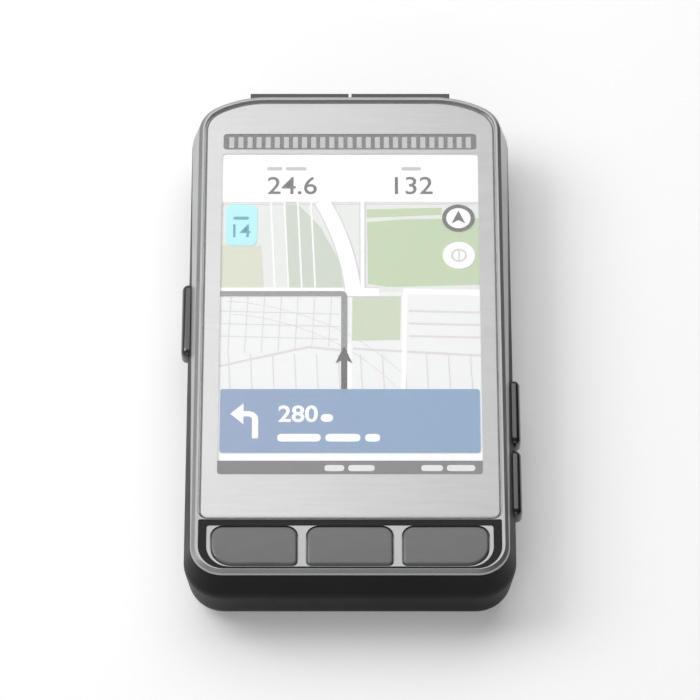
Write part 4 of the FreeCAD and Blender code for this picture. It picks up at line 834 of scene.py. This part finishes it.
class ScreenGround(bpy.types.Operator):
    """The data row, the gap under the banner and the status bar"""

    bl_idname = "cyclo.screen_ground"
    bl_label = "Screen Ground"

    # Where each line of marks stands, its height, and its strokes' weight or its gaps.
    digits_foot, digits_high, digits_weight = 42.9, 4.6, 0.004
    labels_foot, labels_high, labels_gap = 49.2, 0.9, 0.7
    status_foot, status_high, status_gap = -27.6, 1.5, 0.8

    def execute(self, context):
        settings = context.scene.cyclo_screen
        paper = screen_ink("screen_paper", settings.paper, settings.glow)
        bar_ink = screen_ink("screen_bar", settings.bar, settings.glow * 0.4)
        ink = screen_ink("screen_ink", settings.ink, settings.glow * 0.3)
        label = screen_ink("screen_label", (0.5, 0.5, 0.51), settings.glow)
        pale = screen_ink("screen_pale", (0.78, 0.74, 0.75), settings.glow)
        picture("screen_paper", paper,
                (slab, (PANEL_LOW.x, PANEL_LOW.y, layer(0)),
                 (PANEL_HIGH.x, PANEL_HIGH.y, layer(0) + INK_THICK), 0.5, 3))
        picture("data_row", paper, (slab, (VIEW_LEFT, MAP_TOP, layer(5)),
                                    (VIEW_RIGHT, VIEW_TOP, layer(5) + INK_THICK)))
        picture("status_bar", bar_ink, (slab, (VIEW_LEFT, VIEW_FOOT - 1.0, layer(1)),
                                        (VIEW_RIGHT, BAR_TOP, layer(1) + INK_THICK)))
        picture("data_digits", ink,
                *((figures, text, left, self.digits_foot, self.digits_high, layer(6), INK_THICK,
                   self.digits_weight) for text, left in (("24.6", -18.0), ("132", 9.8))))
        picture("data_labels", label,
                *((words, left, self.labels_foot, lengths, self.labels_high, layer(6),
                   INK_THICK, self.labels_gap)
                  for left, lengths in ((-18.2, (3.4, 4.6)), (11.2, (4.4,)))))
        picture("status_labels", pale,
                *((words, left, self.status_foot, lengths, self.status_high, layer(2),
                   INK_THICK, self.status_gap)
                  for left, lengths in ((-5.4, (4.2, 5.6)), (15.0, (4.6, 6.0)))))
        return {"FINISHED"}


class MapGround(bpy.types.Operator):
    """The map's ground, parks and open fields"""

    bl_idname = "cyclo.map_ground"
    bl_label = "Map Ground"

    town_top = 17.4
    town_drop = 0.015

    def execute(self, context):
        settings = context.scene.cyclo_screen
        glow = settings.glow
        picture("map_ground", screen_ink("map_ground", settings.ground, glow),
                (slab, (VIEW_LEFT, BANNER_TOP - 1.0, layer(1)),
                 (VIEW_RIGHT, MAP_TOP, layer(1) + INK_THICK)))
        picture("map_meadow", screen_ink("map_meadow", (0.545, 0.605, 0.504), glow),
                (patch, ((-14.5, 40.9), (-11.8, 40.9), (-6.5, 34.5), (-2.5, 26.0), (-1.4, 18.6),
                         (-13.6, 18.6)), layer(2), INK_THICK))
        town_low = layer(2) - self.town_drop
        picture("map_town", screen_ink("map_town", (0.83, 0.85, 0.845), glow),
                (slab, (VIEW_LEFT, BANNER_TOP - 1.0, town_low),
                 (VIEW_RIGHT, self.town_top, town_low + INK_THICK)))
        picture("map_field", screen_ink("map_field", (0.65, 0.67, 0.53), glow),
                (patch, ((-28.4, 29.5), (-19.2, 29.5), (-18.6, 18.4), (-28.4, 18.4)), layer(2),
                 INK_THICK))
        picture("map_park", screen_ink("map_park", settings.park, glow),
                (patch, ((3.7, 35.6), (12.0, 36.4), (28.4, 36.6), (28.4, 19.4), (8.0, 18.8),
                         (3.9, 19.6)), layer(2), INK_THICK),
                (patch, ((3.6, 39.0), (20.0, 39.4), (20.0, 37.6), (3.6, 36.8)), layer(2),
                 INK_THICK))
        picture("map_grove", screen_ink("map_grove", (0.542, 0.614, 0.446), glow),
                (patch, ((0.5, 16.4), (10.9, 16.4), (10.7, 5.2), (0.4, 5.0)), layer(3),
                 INK_THICK))
        return {"FINISHED"}


class MapRoads(bpy.types.Operator):
    """Streets, main roads, the planned route and the rider's place on the map"""

    bl_idname = "cyclo.map_roads"
    bl_label = "Map Roads"

    bend_steps = 8

    def lay(self, lines, z):
        """Flat bands for a list of streets, each a hair above the one before."""
        return [(strip, start, end, width, z + number * STACK_STEP, INK_THICK)
                for number, (start, end, width) in enumerate(lines)]

    def pale_streets(self):
        """The pale streets of the upper half, and the wide ones of the town."""
        lines = [((-28.4, 17.9), (3.0, 17.9), 1.3), ((11.6, 17.6), (28.4, 17.2), 1.5),
                 ((-0.2, 4.4), (-0.2, -7.3), 1.2), ((12.0, 17.2), (11.4, -7.3), 0.9)]
        for number in range(4):
            place = -17.2 + 2.9 * number
            lines.append(((place, 40.9), (place + 1.0, 18.6), 0.35))
        return lines

    def faint_streets(self):
        """The faint grid of the town in the lower half."""
        lines = [((-20.0, 0.6), (-9.0, 3.4), 0.6), ((-9.0, 3.4), (-2.0, 2.6), 0.6),
                 ((0.6, 3.0), (28.4, 1.2), 0.6), ((-28.4, -1.6), (-20.0, 0.6), 0.5)]
        for number in range(3):
            height = 12.6 - 3.2 * number
            lines.append(((12.6, height), (28.4, height - 0.4), 0.5))
            lines.append(((-28.4, height), (-2.4, height - 0.8), 0.25))
        for number in range(7):
            place = -25.6 + 3.6 * number
            lines.append(((place, 16.2), (place - 0.6, 1.6 + 0.3 * number), 0.25))
        for number in range(12):
            place = -26.0 + 4.7 * number
            lines.append(((place, 1.6), (place + 0.4, -7.3), 0.3))
        return lines

    def main_road(self, wider, z):
        """The curving main road from the map's top down to the crossing, and the street
        beside it."""
        return ((arc_band, (-65.0, 11.3), 66.0, 3.3 + wider, 4.6, 22.2, z, INK_THICK),
                (strip, (2.7, MAP_TOP), (2.7, 17.0), 0.8 + wider, z + STACK_STEP, INK_THICK),
                (strip, (-0.6, 17.4), (6.4, 17.4), 2.0 + wider, z + 2 * STACK_STEP, INK_THICK))

    def contours(self, z):
        """Two faint arcs across the town and a line along the map's top."""
        return (*((arc_band, (-30.0, -40.0), radius, 0.22, start, 45.0, z, INK_THICK * 0.5)
                  for radius, start in ((52.0, 40.0), (55.2, 41.5))),
                (strip, (-28.4, 40.3), (28.4, 40.5), 0.4, z, INK_THICK * 0.5))

    def route_outline(self):
        """The route ahead: up from the rider, round a bend and off to the left."""
        pivot_x, pivot_y = -1.9, 16.35
        turn = [math.pi / 2 * step / self.bend_steps for step in range(self.bend_steps + 1)]
        bend = [(pivot_x + ROUTE_WIDTH * math.cos(angle), pivot_y + ROUTE_WIDTH * math.sin(angle))
                for angle in turn]
        return ((pivot_x + ROUTE_WIDTH, 1.6), *bend, (-28.4, pivot_y + ROUTE_WIDTH),
                (-28.4, pivot_y), (pivot_x, pivot_y), (pivot_x, 1.6))

    def execute(self, context):
        settings = context.scene.cyclo_screen
        white = screen_ink("map_white", (0.97, 0.97, 0.975), settings.glow)
        faint = screen_ink("map_faint", (0.68, 0.64, 0.68), settings.glow)
        ink = screen_ink("map_route", (0.24, 0.24, 0.245), settings.glow * 0.4)
        rider = screen_ink("map_rider", (0.03, 0.03, 0.032), 0.0)
        casing = screen_ink("map_casing", (0.6, 0.58, 0.62), settings.glow)
        picture("map_faint_streets", faint, *self.lay(self.faint_streets(), layer(2) + STREET_LIFT))
        picture("map_streets", white, *self.lay(self.pale_streets(), layer(3)))
        picture("map_road_casing", casing, *self.main_road(0.5, layer(3) + STREET_LIFT))
        picture("map_main_road", white, *self.main_road(0.0, layer(4)))
        picture("map_contours", faint, *self.contours(layer(2) + CONTOUR_LIFT))
        picture("route_ahead", ink, (patch, self.route_outline(), layer(5), INK_THICK))
        picture("route_ridden", rider,
                (strip, (-1.25, 1.6), (-1.25, -7.6), ROUTE_WIDTH, layer(5), INK_THICK))
        picture("rider_arrow", rider,
                (patch, ((-1.3, 3.6), (-3.1, -0.8), (-1.3, 0.4), (0.5, -0.8)), layer(6),
                 INK_THICK))
        return {"FINISHED"}


class TurnBanner(bpy.types.Operator):
    """The turn banner: blue ground, left-turn arrow, distance and a line of words"""

    bl_idname = "cyclo.turn_banner"
    bl_label = "Turn Banner"

    margin = 0.9
    arrow_width = 1.3
    bar_high = 1.9

    def execute(self, context):
        settings = context.scene.cyclo_screen
        blue = screen_ink("banner_blue", settings.banner, settings.glow, BANNER_FADE)
        white = screen_ink("banner_white", (0.97, 0.975, 0.98), settings.glow)
        ground = layer(5) + BANNER_LIFT
        height = layer(6) + BANNER_LIFT
        picture("banner", blue, (slab, (VIEW_LEFT + self.margin, BANNER_FOOT, ground),
                                 (VIEW_RIGHT - self.margin, BANNER_TOP, ground + INK_THICK),
                                 0.6, 4))
        picture("turn_arrow", white,
                (strip, (-20.1, -19.6), (-20.1, -15.0), self.arrow_width, height, INK_THICK),
                (arc_band, (-21.6, -15.0), 1.5, self.arrow_width, 0.0, 90.0,
                 height + STACK_STEP, INK_THICK, 12),
                (strip, (-21.6, -13.5), (-22.8, -13.5), self.arrow_width,
                 height + 2 * STACK_STEP, INK_THICK),
                (patch, ((-22.6, -10.9), (-25.4, -13.5), (-22.6, -16.1)), height, INK_THICK))
        picture("turn_distance", white,
                (figures, "280", -15.2, -15.6, 4.2, height, INK_THICK, 0.02),
                (words, -6.2, -15.5, (2.6,), self.bar_high, height, INK_THICK))
        picture("turn_words", white,
                (words, -15.4, -20.4, (9.2, 7.4, 3.2), self.bar_high, height, INK_THICK, 1.0))
        return {"FINISHED"}


class MapBadges(bpy.types.Operator):
    """The badge at the map's corner and the two round buttons beside it"""

    bl_idname = "cyclo.map_badges"
    bl_label = "Map Badges"

    def execute(self, context):
        settings = context.scene.cyclo_screen
        glow = settings.glow
        height = layer(5)
        above = height + LAYER_STEP
        badge = screen_ink("badge_cyan", settings.badge, glow)
        deep = screen_ink("badge_ink", (0.05, 0.34, 0.45), glow * 0.4)
        dark = screen_ink("ring_dark", (0.07, 0.065, 0.07), glow * 0.2)
        white = screen_ink("ring_white", (0.97, 0.97, 0.975), glow)
        grey = screen_ink("ring_grey", (0.6, 0.63, 0.6), glow)
        picture("badge", badge,
                (slab, (-27.0, 29.4, height), (-20.2, 40.2, height + INK_THICK), 1.6))
        picture("badge_marks", deep, (words, -25.4, 36.2, (3.4,), 0.8, above, INK_THICK),
                (figures, "14", -25.4, 31.6, 3.4, above, INK_THICK, 0.004))
        picture("round_buttons", white, (disc, COMPASS, 3.0, height, INK_THICK),
                (disc, LOCATE, 3.5, height, INK_THICK))
        picture("compass_ring", dark,
                (arc_band, COMPASS, 3.1, 0.9, 0.0, 360.0, above, INK_THICK, 48),
                (patch, ((23.6, 38.6), (22.1, 35.2), (23.6, 36.1), (25.1, 35.2)), above,
                 INK_THICK))
        picture("locate_mark", grey,
                (arc_band, LOCATE, 1.5, 0.5, 0.0, 360.0, above, INK_THICK, 32),
                (strip, (23.6, 25.2), (23.6, 28.6), 0.4, above + STACK_STEP, INK_THICK))
        return {"FINISHED"}


# ---------------------------------------------------------------- stage


# Name, place, width and height in metres, and power in watts.
LAMPS = (
    ("key_light", (-0.58, 0.15, 0.64), (0.5, 0.5), 3.2),
    ("top_light", (-0.05, 0.5, 0.85), (1.3, 0.8), 5.0),
    ("front_light", (-0.1, -0.75, 0.42), (0.9, 0.12), 0.75),
)


def lamp(name, place, aim, size, power):
    """A soft area lamp that points at a place."""
    data = bpy.data.lights.new(name, "AREA")
    data.shape = "RECTANGLE"
    data.size, data.size_y = size
    data.energy = power
    lit = bpy.data.objects.new(name, data)
    lit.location = place
    lit.rotation_euler = (Vector(aim) - Vector(place)).to_track_quat("-Z", "Y").to_euler()
    bpy.context.scene.collection.objects.link(lit)


class Stage(bpy.types.Operator):
    """Pale floor, soft studio light and the camera"""

    bl_idname = "cyclo.stage"
    bl_label = "Stage"

    floor_reach = 3.0
    floor_drop = 0.00005
    floor_glow = 0.2
    world_left, world_right = 0.42, 0.03

    def make_floor(self, colour):
        """A wide floor just under the computer, with a faint mottled finish."""
        shape = bmesh.new()
        drop = Matrix.Translation((0.0, 0.0, CASE_LOW.z - self.floor_drop))
        bmesh.ops.create_grid(shape, x_segments=8, y_segments=8, size=self.floor_reach,
                              matrix=drop)
        mesh = bpy.data.meshes.new("floor")
        shape.to_mesh(mesh)
        shape.free()
        shader = Shader("floor_card", colour, 0.6)
        mottle = shader.noise(0.12)
        shader.vary_colour(mottle, 0.99, 1.01, 0.0, 1.0)
        shader.set("Emission Color", (1.0, 1.0, 1.0, 1.0))
        shader.set("Emission Strength", self.floor_glow)
        mesh.materials.append(shader.material)
        floor = bpy.data.objects.new("floor", mesh)
        bpy.context.scene.collection.objects.link(floor)

    def make_world(self):
        """A pale surround, brighter on the left than on the right."""
        world = bpy.data.worlds.new("studio")
        world.use_nodes = True
        tree = world.node_tree
        direction = tree.nodes.new("ShaderNodeTexCoord")
        split = tree.nodes.new("ShaderNodeSeparateXYZ")
        strength = tree.nodes.new("ShaderNodeMapRange")
        for socket, value in (("From Min", -1.0), ("To Min", self.world_left),
                              ("To Max", self.world_right)):
            strength.inputs[socket].default_value = value
        tree.links.new(direction.outputs["Generated"], split.inputs["Vector"])
        tree.links.new(split.outputs["X"], strength.inputs["Value"])
        tree.links.new(strength.outputs["Result"], tree.nodes["Background"].inputs["Strength"])
        tree.nodes["Background"].inputs["Color"].default_value = (1.0, 1.0, 1.0, 1.0)
        bpy.context.scene.world = world

    def make_camera(self, settings, aim):
        """A camera straight in front, above the screen's plane."""
        data = bpy.data.cameras.new("camera")
        data.lens = settings.lens
        data.sensor_width = 36.0
        data.clip_start = 0.01
        camera = bpy.data.objects.new("camera", data)
        reach = Vector((0.0, -math.cos(settings.elevation), math.sin(settings.elevation)))
        camera.location = aim + reach * settings.distance
        camera.rotation_euler = (-reach).to_track_quat("-Z", "Y").to_euler()
        bpy.context.scene.collection.objects.link(camera)
        bpy.context.scene.camera = camera

    def execute(self, context):
        settings = context.scene.cyclo_stage
        middle = (CASE_LOW + CASE_HIGH) / 2
        self.make_floor(settings.floor)
        self.make_world()
        for name, place, size, power in LAMPS:
            lamp(name, place, middle, size, power * settings.light)
        self.make_camera(settings, middle)
        context.scene.view_settings.view_transform = "Standard"
        return {"FINISHED"}


# ---------------------------------------------------------------- add-on


class LooksPanel(bpy.types.Panel):
    """Lists the settings and the steps in the sidebar"""

    bl_idname = "CYCLO_PT_looks"
    bl_label = "Cycling Computer"
    bl_space_type = "VIEW_3D"
    bl_region_type = "UI"
    bl_category = "Cycling Computer"

    def draw(self, context):
        for name, group in SETTINGS.items():
            box = self.layout.box()
            for prop in group.__annotations__:
                box.prop(getattr(context.scene, name), prop)
        for step in STEPS:
            self.layout.operator(step.bl_idname)


SETTINGS = {
    "cyclo_casing": CasingSettings,
    "cyclo_keys": KeySettings,
    "cyclo_screen": ScreenSettings,
    "cyclo_stage": StageSettings,
}
STEPS = (CasingFinish, InnerFinish, FrontKeys, KeySurround, SideButtonCaps, ScreenGround,
         MapGround, MapRoads, TurnBanner, MapBadges, Stage)


def register():
    """Register every class and hang the settings on the scene."""
    for item in (*SETTINGS.values(), *STEPS, LooksPanel):
        bpy.utils.register_class(item)
    for name, group in SETTINGS.items():
        setattr(bpy.types.Scene, name, bpy.props.PointerProperty(type=group))


def unregister():
    """Take the settings and the classes away again."""
    for name in SETTINGS:
        delattr(bpy.types.Scene, name)
    for item in reversed((*SETTINGS.values(), *STEPS, LooksPanel)):
        bpy.utils.unregister_class(item)


def main():
    """Run every step in order."""
    register()
    for step in STEPS:
        group, name = step.bl_idname.split(".")
        getattr(getattr(bpy.ops, group), name)()


if __name__ == "__main__":
    main()
